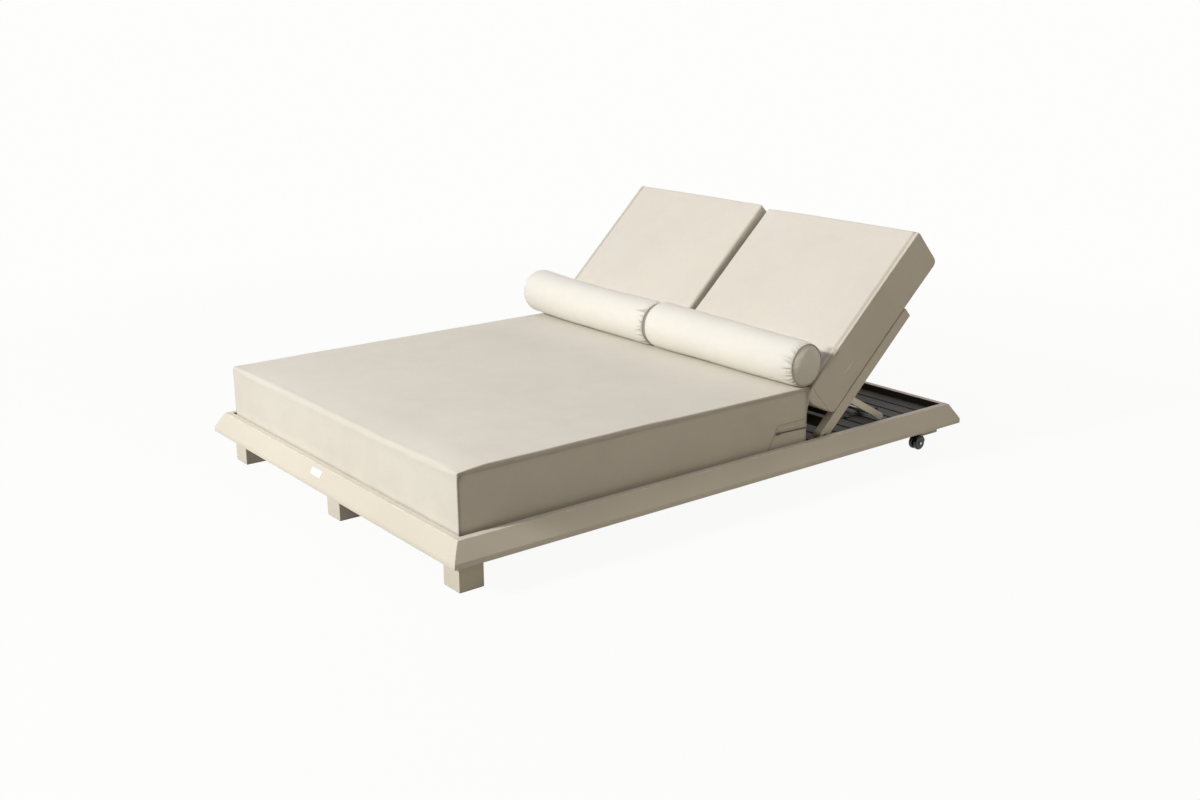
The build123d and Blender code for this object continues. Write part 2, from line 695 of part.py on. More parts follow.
for side, angle in back_rest_angles.items():
    # Tubes, rounded about the hinge and open at the head end
    for tube_name, (low, high) in tube_spans.items():
        with BuildPart() as tube:
            with BuildSketch(back_plane(angle, low)):
                with BuildLine():
                    Polyline(
                        (0, tube_face),
                        (tube_length, tube_face),
                        (tube_length, -tube_face),
                        (0, -tube_face),
                    )
                    ThreePointArc((0, -tube_face), (-tube_face, 0), (0, tube_face))
                make_face()
            extrude(amount=high - low)
            with BuildSketch(back_plane(angle, low + tube_wall)):
                with Locations(((tube_length + tube_end_wall + cut_overrun) / 2, 0)):
                    Rectangle(tube_length - tube_end_wall + cut_overrun, cavity_depth)
            extrude(amount=cavity_width, mode=Mode.SUBTRACT)
            with BuildSketch(back_plane(angle, low)):
                Circle(hinge_pin_radius + hinge_pin_fit)
            extrude(amount=high - low, mode=Mode.SUBTRACT)
            pivot_face = low if tube_name == "outer" else high - tube_wall
            with BuildSketch(back_plane(angle, pivot_face)):
                with Locations((prop_pivot, 0)):
                    Circle(prop_pin_radius + hinge_pin_fit)
            extrude(amount=tube_wall, mode=Mode.SUBTRACT)
        save_side(tube.part, side, f"back_{tube_name}_tube")

    # Rails between the tubes
    for rail_name, start, length, depth in (
        ("top", tube_length - top_rail_width, top_rail_width, tube_depth),
        ("bottom", bottom_rail_start, bottom_rail_width, bottom_rail_depth),
    ):
        with BuildPart() as back_rail:
            with BuildSketch(back_plane(angle, infill_low)):
                with Locations((start + length / 2, 0)):
                    tube_section(length, depth, tube_wall)
            extrude(amount=infill_high - infill_low)
        save_side(back_rail.part, side, f"back_{rail_name}_rail")

    # Thin slats that close the back, flush with the tubes' cushion side
    back_slats_start = bottom_rail_start + bottom_rail_width + back_slat_end_gap
    back_slats_end = tube_length - top_rail_width - back_slat_end_gap
    slat_step = (back_slats_end - back_slats_start - back_slat_width) / (back_slat_count - 1)
    with BuildPart() as back_slats:
        with BuildSketch(back_plane(angle, infill_low)):
            for i in range(back_slat_count):
                u = back_slats_start + back_slat_width / 2 + slat_step * i
                with Locations((u, tube_face - back_slat_thickness / 2)):
                    Rectangle(back_slat_width, back_slat_thickness)
        extrude(amount=infill_high - infill_low)
    save_side(back_slats.part, side, "back_slats")

    # Plugs in the tubes' open ends
    with BuildPart() as end_caps:
        for low, high in tube_spans.values():
            with BuildSketch(back_plane(angle, low + tube_wall + end_cap_clearance)):
                with Locations((tube_length - end_cap_depth / 2, 0)):
                    Rectangle(end_cap_depth, cavity_depth - 2 * end_cap_clearance)
            extrude(amount=cavity_width - 2 * end_cap_clearance)
    save_side(end_caps.part, side, "back_end_caps")

    # Hinge pins, with a head on the tube's far side from the bracket
    pin_reach = tube_width + hinge_ear_gap + hinge_ear_thickness + hinge_pin_head_height
    with BuildPart() as hinge_pins:
        for face, inward in ((back_outer_face, -1), (back_inner_face, 1)):
            with BuildSketch(back_plane(angle, face)):
                Circle(hinge_pin_radius)
            extrude(amount=inward * pin_reach)
            with BuildSketch(back_plane(angle, face)):
                Circle(hinge_pin_head_radius)
            extrude(amount=-inward * hinge_pin_head_height)
    save_side(hinge_pins.part, side, "hinge_pins")

    # Prop: two legs, a rod across their feet and a headed pin at each pivot
    rod_low = leg_inner_low + prop_rod_end_cover
    rod_high = leg_outer_high - prop_rod_end_cover
    for leg_name, low, mouth, into in (
        ("outer", leg_outer_high - prop_leg_width, leg_outer_high - prop_leg_width, 1),
        ("inner", leg_inner_low, leg_inner_low + prop_leg_width, -1),
    ):
        with BuildPart() as leg:
            with BuildSketch(prop_plane(angle, low)):
                with Locations((prop_length / 2, 0)):
                    SlotCenterToCenter(prop_length, prop_leg_depth)
                Circle(prop_pin_radius + hinge_pin_fit, mode=Mode.SUBTRACT)
            extrude(amount=prop_leg_width)
            with BuildSketch(prop_plane(angle, mouth)):
                with Locations((prop_length, 0)):
                    Circle(prop_rod_radius + prop_rod_fit)
            extrude(amount=into * (prop_leg_width - prop_rod_end_cover), mode=Mode.SUBTRACT)
        save_side(leg.part, side, f"prop_{leg_name}_leg")

    with BuildPart() as prop_rod:
        with BuildSketch(prop_plane(angle, rod_low)):
            with Locations((prop_length, 0)):
                Circle(prop_rod_radius)
        extrude(amount=rod_high - rod_low)
    save_side(prop_rod.part, side, "prop_rod")

    shank = prop_leg_width + prop_leg_gap + tube_wall + prop_pin_stop_gap
    with BuildPart() as prop_pins:
        for face, into in ((leg_outer_high - prop_leg_width, 1), (leg_inner_low + prop_leg_width, -1)):
            with BuildSketch(prop_plane(angle, face)):
                Circle(prop_pin_radius)
            extrude(amount=into * shank)
            with BuildSketch(prop_plane(angle, face)):
                Circle(prop_pin_head_radius)
            extrude(amount=-into * prop_pin_head_height)
            with BuildSketch(prop_plane(angle, face + into * shank)):
                Circle(prop_pin_head_radius)
            extrude(amount=into * prop_pin_head_height)
    save_side(prop_pins.part, side, "prop_pins")

    # Back cushion, loose on the slats, its face falling away a little towards the head end
    flat_start = seat_rear + back_cushion_flat_gap - hinge_y
    cushion_start = flat_start + back_cushion_slide_per_degree * angle
    cushion_x = (back_outer_face + back_cushion_middle_gap / 2) / 2
    cushion_half = (back_outer_face - back_cushion_middle_gap / 2) / 2
    along_back = (0, cos(radians(angle)), sin(radians(angle)))
    with BuildPart() as back_cushion:
        for along, inset, fullness in cushion_stations(back_cushion_length):
            y, z = back_point(angle, cushion_start + along, 0)
            head_share = max(0, along / back_cushion_length - head_drop_start_share)
            drop = back_cushion_head_drop * head_share / (1 - head_drop_start_share)
            with BuildSketch(Plane(origin=(cushion_x, y, z), x_dir=(-1, 0, 0), z_dir=along_back)):
                cushion_section(
                    cushion_half - inset - back_cushion_side_draw * fullness,
                    cushion_v + inset,
                    cushion_v + back_cushion_thickness - inset - drop,
                    back_cushion_crown,
                    fullness,
                    cushion_corner,
                    back_cushion_side_bulge,
                )
        loft(ruled=True)
    save_side(back_cushion.part, side, "back_cushion")

    # Bolster, a filled roll with piped, slightly domed ends
    lift = radians(angle)
    bolster_radius = bolster_radii[side]
    bolster_v = cushion_v + back_cushion_thickness + back_rise + bolster_back_gap + bolster_radius
    bolster_z = seat_edge_top + seat_rise + bolster_seat_gap + bolster_radius
    bolster_u = (bolster_z - hinge_z - bolster_v * cos(lift)) / sin(lift)
    bolster_y, _ = back_point(angle, bolster_u, bolster_v)
    bolster_outer = back_outer_face + bolster_side_overhang
    bolster_inner = bolster_middle_gap / 2
    bolster_half = (bolster_outer - bolster_inner) / 2
    rim = bolster_half - bolster_end_bulge
    disc_radius = bolster_radius - bolster_neck_drop
    dome_radius = (disc_radius**2 + bolster_end_bulge**2) / (2 * bolster_end_bulge)
    dome_mid_drop = dome_radius - sqrt(dome_radius**2 - (disc_radius / 2) ** 2)
    pipe = bolster_piping_radius
    neck = rim - bolster_neck_length
    barrel = bolster_radius - bolster_barrel_swell
    with BuildPart() as bolster:
        roll = Plane(
            origin=((bolster_outer + bolster_inner) / 2, bolster_y, bolster_z),
            x_dir=(1, 0, 0),
            z_dir=(0, -1, 0),
        )
        with BuildSketch(roll):
            with BuildLine():
                for end in (1, -1):
                    ThreePointArc(
                        (end * bolster_half, 0),
                        (end * (bolster_half - dome_mid_drop), disc_radius / 2),
                        (end * rim, disc_radius),
                    )
                    ThreePointArc(
                        (end * rim, disc_radius),
                        (end * (rim - pipe), disc_radius + pipe / 2),
                        (end * (rim - 2 * pipe), disc_radius),
                    )
                    ThreePointArc(
                        (end * (rim - 2 * pipe), disc_radius),
                        (end * (neck + rim - 2 * pipe) / 2, (disc_radius + barrel) / 2 + pipe / 3),
                        (end * neck, barrel),
                    )
                ThreePointArc((-neck, barrel), (0, bolster_radius), (neck, barrel))
                Line((-bolster_half, 0), (bolster_half, 0))
            make_face()
        revolve(axis=Axis((bolster_inner, bolster_y, bolster_z), (1, 0, 0)))
    save_side(bolster.part, side, "bolster")
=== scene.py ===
"""The looks of a double chaise lounger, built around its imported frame.

Everything is in metres in the row frame: the ground is z = 0, the foot end is towards -Y, the head end
towards +Y, and +X is the right of someone who lies on the lounger. Fabric, metal and plastic are
procedural. Each sub-assembly is a class that builds its own pieces and dresses them.
"""

import json
import logging
import math
from collections.abc import Callable, Iterable, Sequence
from dataclasses import dataclass
from enum import Enum
from functools import cache

import bmesh
import bpy
import numpy as np
from mathutils import Matrix, Vector, noise
from mathutils.bvhtree import BVHTree

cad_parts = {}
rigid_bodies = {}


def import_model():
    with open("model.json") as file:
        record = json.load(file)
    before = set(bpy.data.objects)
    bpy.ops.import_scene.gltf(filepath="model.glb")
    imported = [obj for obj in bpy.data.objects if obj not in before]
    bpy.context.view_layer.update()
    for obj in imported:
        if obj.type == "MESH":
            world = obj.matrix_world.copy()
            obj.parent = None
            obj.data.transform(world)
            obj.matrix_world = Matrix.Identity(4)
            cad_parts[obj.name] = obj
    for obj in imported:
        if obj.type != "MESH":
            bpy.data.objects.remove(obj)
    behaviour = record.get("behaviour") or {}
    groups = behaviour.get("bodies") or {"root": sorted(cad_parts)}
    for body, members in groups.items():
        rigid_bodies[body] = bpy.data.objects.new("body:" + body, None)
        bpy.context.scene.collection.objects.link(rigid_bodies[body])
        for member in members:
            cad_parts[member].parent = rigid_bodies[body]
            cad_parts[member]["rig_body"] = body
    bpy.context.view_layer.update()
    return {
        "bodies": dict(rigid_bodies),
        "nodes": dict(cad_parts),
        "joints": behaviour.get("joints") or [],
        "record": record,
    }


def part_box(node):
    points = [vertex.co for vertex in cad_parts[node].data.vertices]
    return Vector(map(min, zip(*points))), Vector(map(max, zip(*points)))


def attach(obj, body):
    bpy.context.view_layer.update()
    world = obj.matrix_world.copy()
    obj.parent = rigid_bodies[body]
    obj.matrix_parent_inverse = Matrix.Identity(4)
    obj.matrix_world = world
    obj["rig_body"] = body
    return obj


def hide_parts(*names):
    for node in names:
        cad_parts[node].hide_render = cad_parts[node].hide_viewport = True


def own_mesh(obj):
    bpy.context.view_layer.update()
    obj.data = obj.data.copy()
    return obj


LOG = logging.getLogger("lounger")
WEAVE_MAP = "weave"
RIM_MARK = "rim"
# Vertex mark for painted shade: it darkens the fabric's colour where shade falls.
PAINTED_SHADE_MARK = "fold"
NEAR = 1e-6
TINY = 1e-12
SLIP_SHARE = 0.3
FLAT_SHARE = 0.4
FILL_FRAMES = 20
FLAT_WEIGHT = 80
LEVEL_ANGLE = math.radians(0.6)

Colour = tuple[float, float, float]
Place = tuple[float, float, float]
Spans = Sequence[tuple[float, float]]
Face = tuple[int, ...]
Piece = bpy.types.Object
Mesh = bpy.types.Mesh
Tree = bpy.types.NodeTree
Material = bpy.types.Material
Socket = bpy.types.NodeSocket
Sockets = bpy.types.bpy_prop_collection


class Side(Enum):
    """Left or right half of the lounger, with the sign of its X."""

    LEFT = -1
    RIGHT = 1

    @property
    def word(self) -> str:
        """The side as it stands in node and body names."""
        return self.name.lower()


# ---------------------------------------------------------------- node trees

SHADER_TREE = "ShaderNodeTree"
GEOMETRY_TREE = "GeometryNodeTree"
GEOMETRY = "NodeSocketGeometry"
FLOAT = "NodeSocketFloat"
VECTOR = "NodeSocketVector"
COUNT = "NodeSocketInt"
MATERIAL = "NodeSocketMaterial"
OBJECT = "NodeSocketObject"


def shade(colour: Colour, share: float) -> Colour:
    """A darker share of a colour."""
    return tuple(share * channel for channel in colour)


class Board:
    """A node tree that is being wired up, for shaders and Geometry Nodes alike."""

    def __init__(self, tree: Tree) -> None:
        """Starts on a tree, emptied first."""
        tree.nodes.clear()
        self.tree = tree

    def add(self, kind: str, **settings: object) -> bpy.types.Node:
        """Adds a node.

        Args:
            kind: the node's Blender type.
            settings: properties to set on it.

        Returns:
            The new node.
        """
        node = self.tree.nodes.new(kind)
        for key, value in settings.items():
            setattr(node, key, value)
        return node

    def feed(self, target: Socket, value: object) -> None:
        """Links a socket to an input, or writes a plain value or colour to it.

        Args:
            target: the input socket.
            value: an output socket, a value or a colour without its alpha.
        """
        if isinstance(value, bpy.types.NodeSocket):
            self.tree.links.new(value, target)
        elif target.type == "RGBA":
            target.default_value = (*value, 1.0)
        else:
            target.default_value = value

    def call(self, kind: str, inputs: dict[str | int, object], out: str | int = 0, **settings: object) -> Socket:
        """Adds a node, feeds its inputs and gives one output.

        Args:
            kind: the node's Blender type.
            inputs: socket name or number to value or socket.
            out: the output to give back.
            settings: properties to set on the node.

        Returns:
            The chosen output socket.
        """
        node = self.add(kind, **settings)
        for key, value in inputs.items():
            self.feed(node.inputs[key], value)
        return node.outputs[out]

    def maths(self, operation: str, a: object, b: object = 0.0, clamp: bool = False) -> Socket:
        """The result of a math node on two values."""
        return self.call("ShaderNodeMath", {0: a, 1: b}, operation=operation, use_clamp=clamp)

    def times(self, a: object, b: object) -> Socket:
        """The product of two values."""
        return self.maths("MULTIPLY", a, b)

    def blend(self, share: object, a: object, b: object) -> Socket:
        """Two colours mixed, by the share of the second."""
        return self.call("ShaderNodeMix", {0: share, 6: a, 7: b}, 2, data_type="RGBA")

    def span(self, value: object, low: float, high: float, to_low: float = 0.0, to_high: float = 1.0) -> Socket:
        """A value mapped from one span to another, clamped."""
        return self.call("ShaderNodeMapRange", {0: value, 1: low, 2: high, 3: to_low, 4: to_high})

    def noise(self, vector: object, scale: object, detail: object, distortion: float = 0.0) -> Socket:
        """The value of a noise texture."""
        inputs = {"Vector": vector, "Scale": scale, "Detail": detail, "Distortion": distortion}
        return self.call("ShaderNodeTexNoise", inputs)

    def random(self, low: object, high: object, seed: object) -> Socket:
        """A random value between two others, for each copy of a part."""
        node = self.add("FunctionNodeRandomValue", data_type="FLOAT")
        sockets = {s.name: s for s in node.inputs if s.type == "VALUE" or s.name == "Seed"}
        for name, value in (("Min", low), ("Max", high), ("Seed", seed)):
            self.feed(sockets[name], value)
        return next(s for s in node.outputs if s.type == "VALUE")

    def split(self, vector: object) -> Sequence[Socket]:
        """The X, Y and Z of a vector."""
        first = self.call("ShaderNodeSeparateXYZ", {0: vector})
        return first.node.outputs

    def bump(self, height: object, distance: float, strength: float, under: dict[str, Socket] | None = None) -> Socket:
        """The normals of a bump, laid over other normals where they are given."""
        inputs = {"Height": height, "Distance": distance, "Strength": strength, **(under or {})}
        return self.call("ShaderNodeBump", inputs, "Normal")


def new_group(
    name: str, kind: str, inputs: Sequence[tuple[str, str, object]], outputs: Sequence[tuple[str, str]]
) -> tuple[Board, Sockets, Sockets]:
    """Makes a node group with named sockets.

    Args:
        name: the group's name.
        kind: the type of its tree.
        inputs: name, socket type and default of each input.
        outputs: name and socket type of each output.

    Returns:
        A board on the new group, the sockets that it is given and the sockets that it fills.
    """
    tree = bpy.data.node_groups.new(name, kind)
    for label, socket_type, default in inputs:
        socket = tree.interface.new_socket(name=label, in_out="INPUT", socket_type=socket_type)
        if default is not None:
            socket.default_value = default
    for label, socket_type in outputs:
        tree.interface.new_socket(name=label, in_out="OUTPUT", socket_type=socket_type)
    board = Board(tree)
    return board, board.add("NodeGroupInput").outputs, board.add("NodeGroupOutput").inputs


class ShaderKit:
    """The shader effects that several materials share, each a group built once."""

    def __init__(self) -> None:
        """Builds every group."""
        self.weave = self._weave()
        self.mottle = self._mottle()
        self.wear = self._wear()
        self.dust = self._dust()
        self.peel = self._peel()

    @staticmethod
    def _weave() -> Tree:
        """Plain weave on a map in metres: thread height and a shade for the gaps.

        Returns:
            The node group.
        """
        inputs = [("Map", VECTOR, None), ("Pitch", FLOAT, 0.001)]
        board, given, result = new_group("plain_weave", SHADER_TREE, inputs, [("Height", FLOAT), ("Gap", FLOAT)])
        waves = []
        for place in board.split(given["Map"])[:2]:
            turns = board.maths("DIVIDE", place, given["Pitch"])
            waves.append(board.maths("SINE", board.times(turns, math.pi)))
        over = board.maths("GREATER_THAN", board.times(*waves), 0.0)
        under = board.maths("SUBTRACT", 1.0, over)
        warp, weft = (board.times(board.maths("ABSOLUTE", wave), up) for wave, up in zip(waves, (over, under)))
        height = board.maths("ADD", warp, weft)
        board.feed(result["Height"], height)
        board.feed(result["Gap"], board.maths("SUBTRACT", 1.0, height, clamp=True))
        return board.tree

    @staticmethod
    def _mottle() -> Tree:
        """Soft cloudy variation, 0 to 1.

        Returns:
            The node group.
        """
        inputs = [("Vector", VECTOR, None), ("Scale", FLOAT, 4.0), ("Detail", FLOAT, 3.0)]
        board, given, result = new_group("soft_mottle", SHADER_TREE, inputs, [("Cloud", FLOAT)])
        cloud = board.noise(given["Vector"], given["Scale"], given["Detail"])
        board.feed(result["Cloud"], board.span(cloud, 0.34, 0.66))
        return board.tree

    @staticmethod
    def _wear() -> Tree:
        """Edges where the coat is scraped through in patches; where that edge colour is lighter, as on the rails, it is
        a painted highlight.

        Returns:
            The node group.
        """
        inputs = [("Rim", FLOAT, 0.0), ("Vector", VECTOR, None), ("Amount", FLOAT, 0.5)]
        board, given, result = new_group("edge_wear", SHADER_TREE, inputs, [("Worn", FLOAT)])
        patch = board.span(board.noise(given["Vector"], 34.0, 4.0), 0.42, 0.62)
        board.feed(result["Worn"], board.times(board.times(given["Rim"], patch), given["Amount"]))
        return board.tree

    @staticmethod
    def _dust() -> Tree:
        """Fine dust that settles on faces that look up.

        Returns:
            The node group.
        """
        inputs = [("Vector", VECTOR, None), ("Amount", FLOAT, 0.3)]
        board, given, result = new_group("settled_dust", SHADER_TREE, inputs, [("Dust", FLOAT)])
        facing = board.split(board.add("ShaderNodeNewGeometry").outputs["Normal"])
        upward = board.span(facing[2], 0.45, 0.98)
        patch = board.span(board.noise(given["Vector"], 9.0, 5.0), 0.3, 0.75, 0.25, 1.0)
        board.feed(result["Dust"], board.times(board.times(upward, patch), given["Amount"]))
        return board.tree

    @staticmethod
    def _peel() -> Tree:
        """The slight orange peel of a sprayed or moulded skin.

        Returns:
            The node group.
        """
        inputs = [("Vector", VECTOR, None), ("Scale", FLOAT, 420.0), ("Waves", FLOAT, 0.3)]
        board, given, result = new_group("skin_peel", SHADER_TREE, inputs, [("Height", FLOAT)])
        fine = board.noise(given["Vector"], given["Scale"], 2.0)
        broad = board.noise(given["Vector"], 26.0, 1.0)
        board.feed(result["Height"], board.maths("ADD", fine, board.times(broad, given["Waves"])))
        return board.tree


@cache
def shader_kit() -> ShaderKit:
    """The one set of shader groups, built on first use."""
    return ShaderKit()


class Surface(Board):
    """A material with one Principled shader that is being wired up."""

    def __init__(self, name: str) -> None:
        """Makes the material and the nodes that every finish starts from.

        Args:
            name: the material's name.
        """
        self.material = bpy.data.materials.new(name)
        self.material.use_nodes = True
        super().__init__(self.material.node_tree)
        self.kit = shader_kit()
        self.shader = self.add("ShaderNodeBsdfPrincipled")
        self.feed(self.add("ShaderNodeOutputMaterial").inputs["Surface"], self.shader.outputs[0])
        self.place = self.add("ShaderNodeTexCoord").outputs["Object"]

    def mark(self, name: str) -> Socket:
        """The value of a mark that is kept on the mesh."""
        return self.add("ShaderNodeAttribute", attribute_name=name).outputs["Fac"]

    def group(self, tree: Tree, out: str, **inputs: object) -> Socket:
        """Places a shared shader group and gives one of its outputs."""
        return self.call("ShaderNodeGroup", inputs, out, node_tree=tree)

    def mottle(self, scale: float, detail: float) -> Socket:
        """Soft clouds over the surface, from 0 to 1."""
        return self.group(self.kit.mottle, "Cloud", Vector=self.place, Scale=scale, Detail=detail)

    def skin(self, scale: float, waves: float, depth: float, strength: float) -> Socket:
        """The normals of a sprayed or moulded skin."""
        height = self.group(self.kit.peel, "Height", Vector=self.place, Scale=scale, Waves=waves)
        return self.bump(height, depth, strength)

    def finish(self, inputs: dict[str, object]) -> Material:
        """Feeds the shader and gives the finished material.

        Args:
            inputs: name of each of the shader's sockets to value or socket.

        Returns:
            The material.
        """
        for name, value in inputs.items():
            self.feed(self.shader.inputs[name], value)
        return self.material


@dataclass(frozen=True)
class Canvas:
    """Smooth woven outdoor canvas, on a piece that carries a weave map in metres. Where the piece carries the
    painted-shade mark, its colour is darkened there as painted shade.
    """

    name: str
    colour: Colour
    shaded: Colour
    tinted: Colour
    cloud_share: float = 0.5
    blotch_share: float = 0.6
    gap_share: float = 0.22
    slub_share: float = 0.18
    fold_share: float = 0.9
    fold_shade: float = 0.45
    pitch: float = 0.0011
    weave_depth: float = 0.00022
    crease_depth: float = 0.0012
    crease_scale: float = 11.0
    roughness: float = 0.86
    gloss: float = 0.25
    sheen: float = 0.12

    def build(self) -> Material:
        """Makes the material.

        Returns:
            The material.
        """
        board = Surface(self.name)
        weave = board.add("ShaderNodeGroup", node_tree=board.kit.weave)
        board.feed(weave.inputs["Map"], board.add("ShaderNodeUVMap", uv_map=WEAVE_MAP).outputs[0])
        board.feed(weave.inputs["Pitch"], self.pitch)
        cloud, blotch = board.mottle(3.2, 4.0), board.mottle(12.0, 5.0)
        slub = board.noise(board.place, 60.0, 3.0)
        tone = board.blend(board.times(cloud, self.cloud_share), self.colour, self.shaded)
        tone = board.blend(board.times(blotch, self.blotch_share), tone, self.tinted)
        tone = board.blend(board.times(weave.outputs["Gap"], self.gap_share), tone, self.shaded)
        tone = board.blend(board.span(slub, 0.4, 0.7, 0.0, self.slub_share), tone, self.shaded)
        # Painted shade: the colour is darkened towards a share of the shaded tone where the painted-shade mark is set.
        fold = board.maths("MULTIPLY", board.mark(PAINTED_SHADE_MARK), self.fold_share, clamp=True)
        creases = board.noise(board.place, self.crease_scale, 3.0, 0.6)
        wide = board.bump(creases, self.crease_depth, 0.8)
        return board.finish(
            {
                "Base Color": board.blend(fold, tone, shade(self.shaded, self.fold_shade)),
                "Roughness": board.span(cloud, 0.0, 1.0, self.roughness - 0.05, self.roughness + 0.07),
                "Specular IOR Level": self.gloss,
                "Sheen Weight": self.sheen,
                "Sheen Roughness": 0.5,
                "Normal": board.bump(weave.outputs["Height"], self.weave_depth, 0.6, {"Normal": wide}),
            }
        )


@dataclass(frozen=True)
class Coat:
    """Powder-coated metal: fine peel, slight cloudiness, dust on top and scraped edges in a lighter colour; on the
    rails that edge colour is a painted highlight.

    A painted well shade is a dark colour within half an X and half a Y from the middle, on the inside of the rails,
    where shade falls.
    """

    name: str
    colour: Colour
    rubbed: Colour
    dusty: Colour
    roughness: float = 0.5
    peel: float = 0.00006
    wear: float = 0.55
    dust: float = 0.25
    gloss: float = 0.42
    deeper: float = 0.93
    lining: Colour | None = None
    lined_half: tuple[float, float] = (0.0, 0.0)

    def build(self) -> Material:
        """Makes the material.

        Returns:
            The material.
        """
        board = Surface(self.name)
        cloud = board.mottle(2.4, 5.0)
        edge_tone = board.group(board.kit.wear, "Worn", Rim=board.mark(RIM_MARK), Vector=board.place, Amount=self.wear)
        dust = board.group(board.kit.dust, "Dust", Vector=board.place, Amount=self.dust)
        tone = board.blend(cloud, self.colour, shade(self.colour, self.deeper))
        tone = board.blend(dust, tone, self.dusty)
        tone = board.blend(edge_tone, tone, self.rubbed)
        # Painted shade: the rails' inner walls in the well are given a dark colour where shade falls.
        if self.lining is not None:
            within = [
                board.maths("LESS_THAN", board.maths("ABSOLUTE", place), half)
                for place, half in zip(board.split(board.place), self.lined_half)
            ]
            tone = board.blend(board.times(*within), tone, self.lining)
        rough = board.span(cloud, 0.0, 1.0, self.roughness - 0.05, self.roughness + 0.06)
        return board.finish(
            {
                "Base Color": tone,
                "Roughness": board.maths("ADD", rough, board.times(dust, 0.3), clamp=True),
                "Specular IOR Level": self.gloss,
                "Normal": board.skin(520.0, 0.4, self.peel, 0.7),
            }
        )


@dataclass(frozen=True)
class Bare:
    """Uncoated metal with a drawn or turned grain."""

    name: str
    colour: Colour
    roughness: float = 0.32
    grain: Place = (900.0, 12.0, 900.0)
    darker: float = 0.72
    depth: float = 0.00003

    def build(self) -> Material:
        """Makes the material.

        Returns:
            The material.
        """
        board = Surface(self.name)
        mapped = board.call("ShaderNodeMapping", {"Vector": board.place, "Scale": self.grain})
        lines = board.noise(mapped, 1.0, 3.0)
        cloud = board.mottle(30.0, 3.0)
        return board.finish(
            {
                "Base Color": board.blend(board.times(lines, 0.6), self.colour, shade(self.colour, self.darker)),
                "Roughness": board.span(cloud, 0.0, 1.0, self.roughness - 0.07, self.roughness + 0.12),
                "Metallic": 1.0,
                "Normal": board.bump(lines, self.depth, 0.5),
            }
        )


@dataclass(frozen=True)
class Moulded:
    """Injection-moulded plastic, from glossy to matt."""

    name: str
    colour: Colour
    scuffed: Colour
    roughness: float = 0.16
    peel: float = 0.00002

    def build(self) -> Material:
        """Makes the material.

        Returns:
            The material.
        """
        board = Surface(self.name)
        scuffs = board.mottle(70.0, 5.0)
        return board.finish(
            {
                "Base Color": board.blend(board.span(scuffs, 0.72, 1.0, 0.0, 0.6), self.colour, self.scuffed),
                "Roughness": board.span(scuffs, 0.0, 1.0, self.roughness, self.roughness + 0.22),
                "Normal": board.skin(700.0, 0.5, self.peel, 0.6),
            }
        )


@dataclass(frozen=True)
class Thread:
    """Twisted sewing thread."""

    name: str
    colour: Colour
    twisted: Colour

    def build(self) -> Material:
        """Makes the material.

        Returns:
            The material.
        """
        board = Surface(self.name)
        twist = board.call("ShaderNodeTexWave", {"Vector": board.place, "Scale": 420.0, "Distortion": 1.5}, 1)
        return board.finish(
            {
                "Base Color": board.blend(twist, self.twisted, self.colour),
                "Roughness": board.span(twist, 0.0, 1.0, 0.75, 0.6),
                "Normal": board.bump(twist, 0.0001, 0.4),
            }
        )


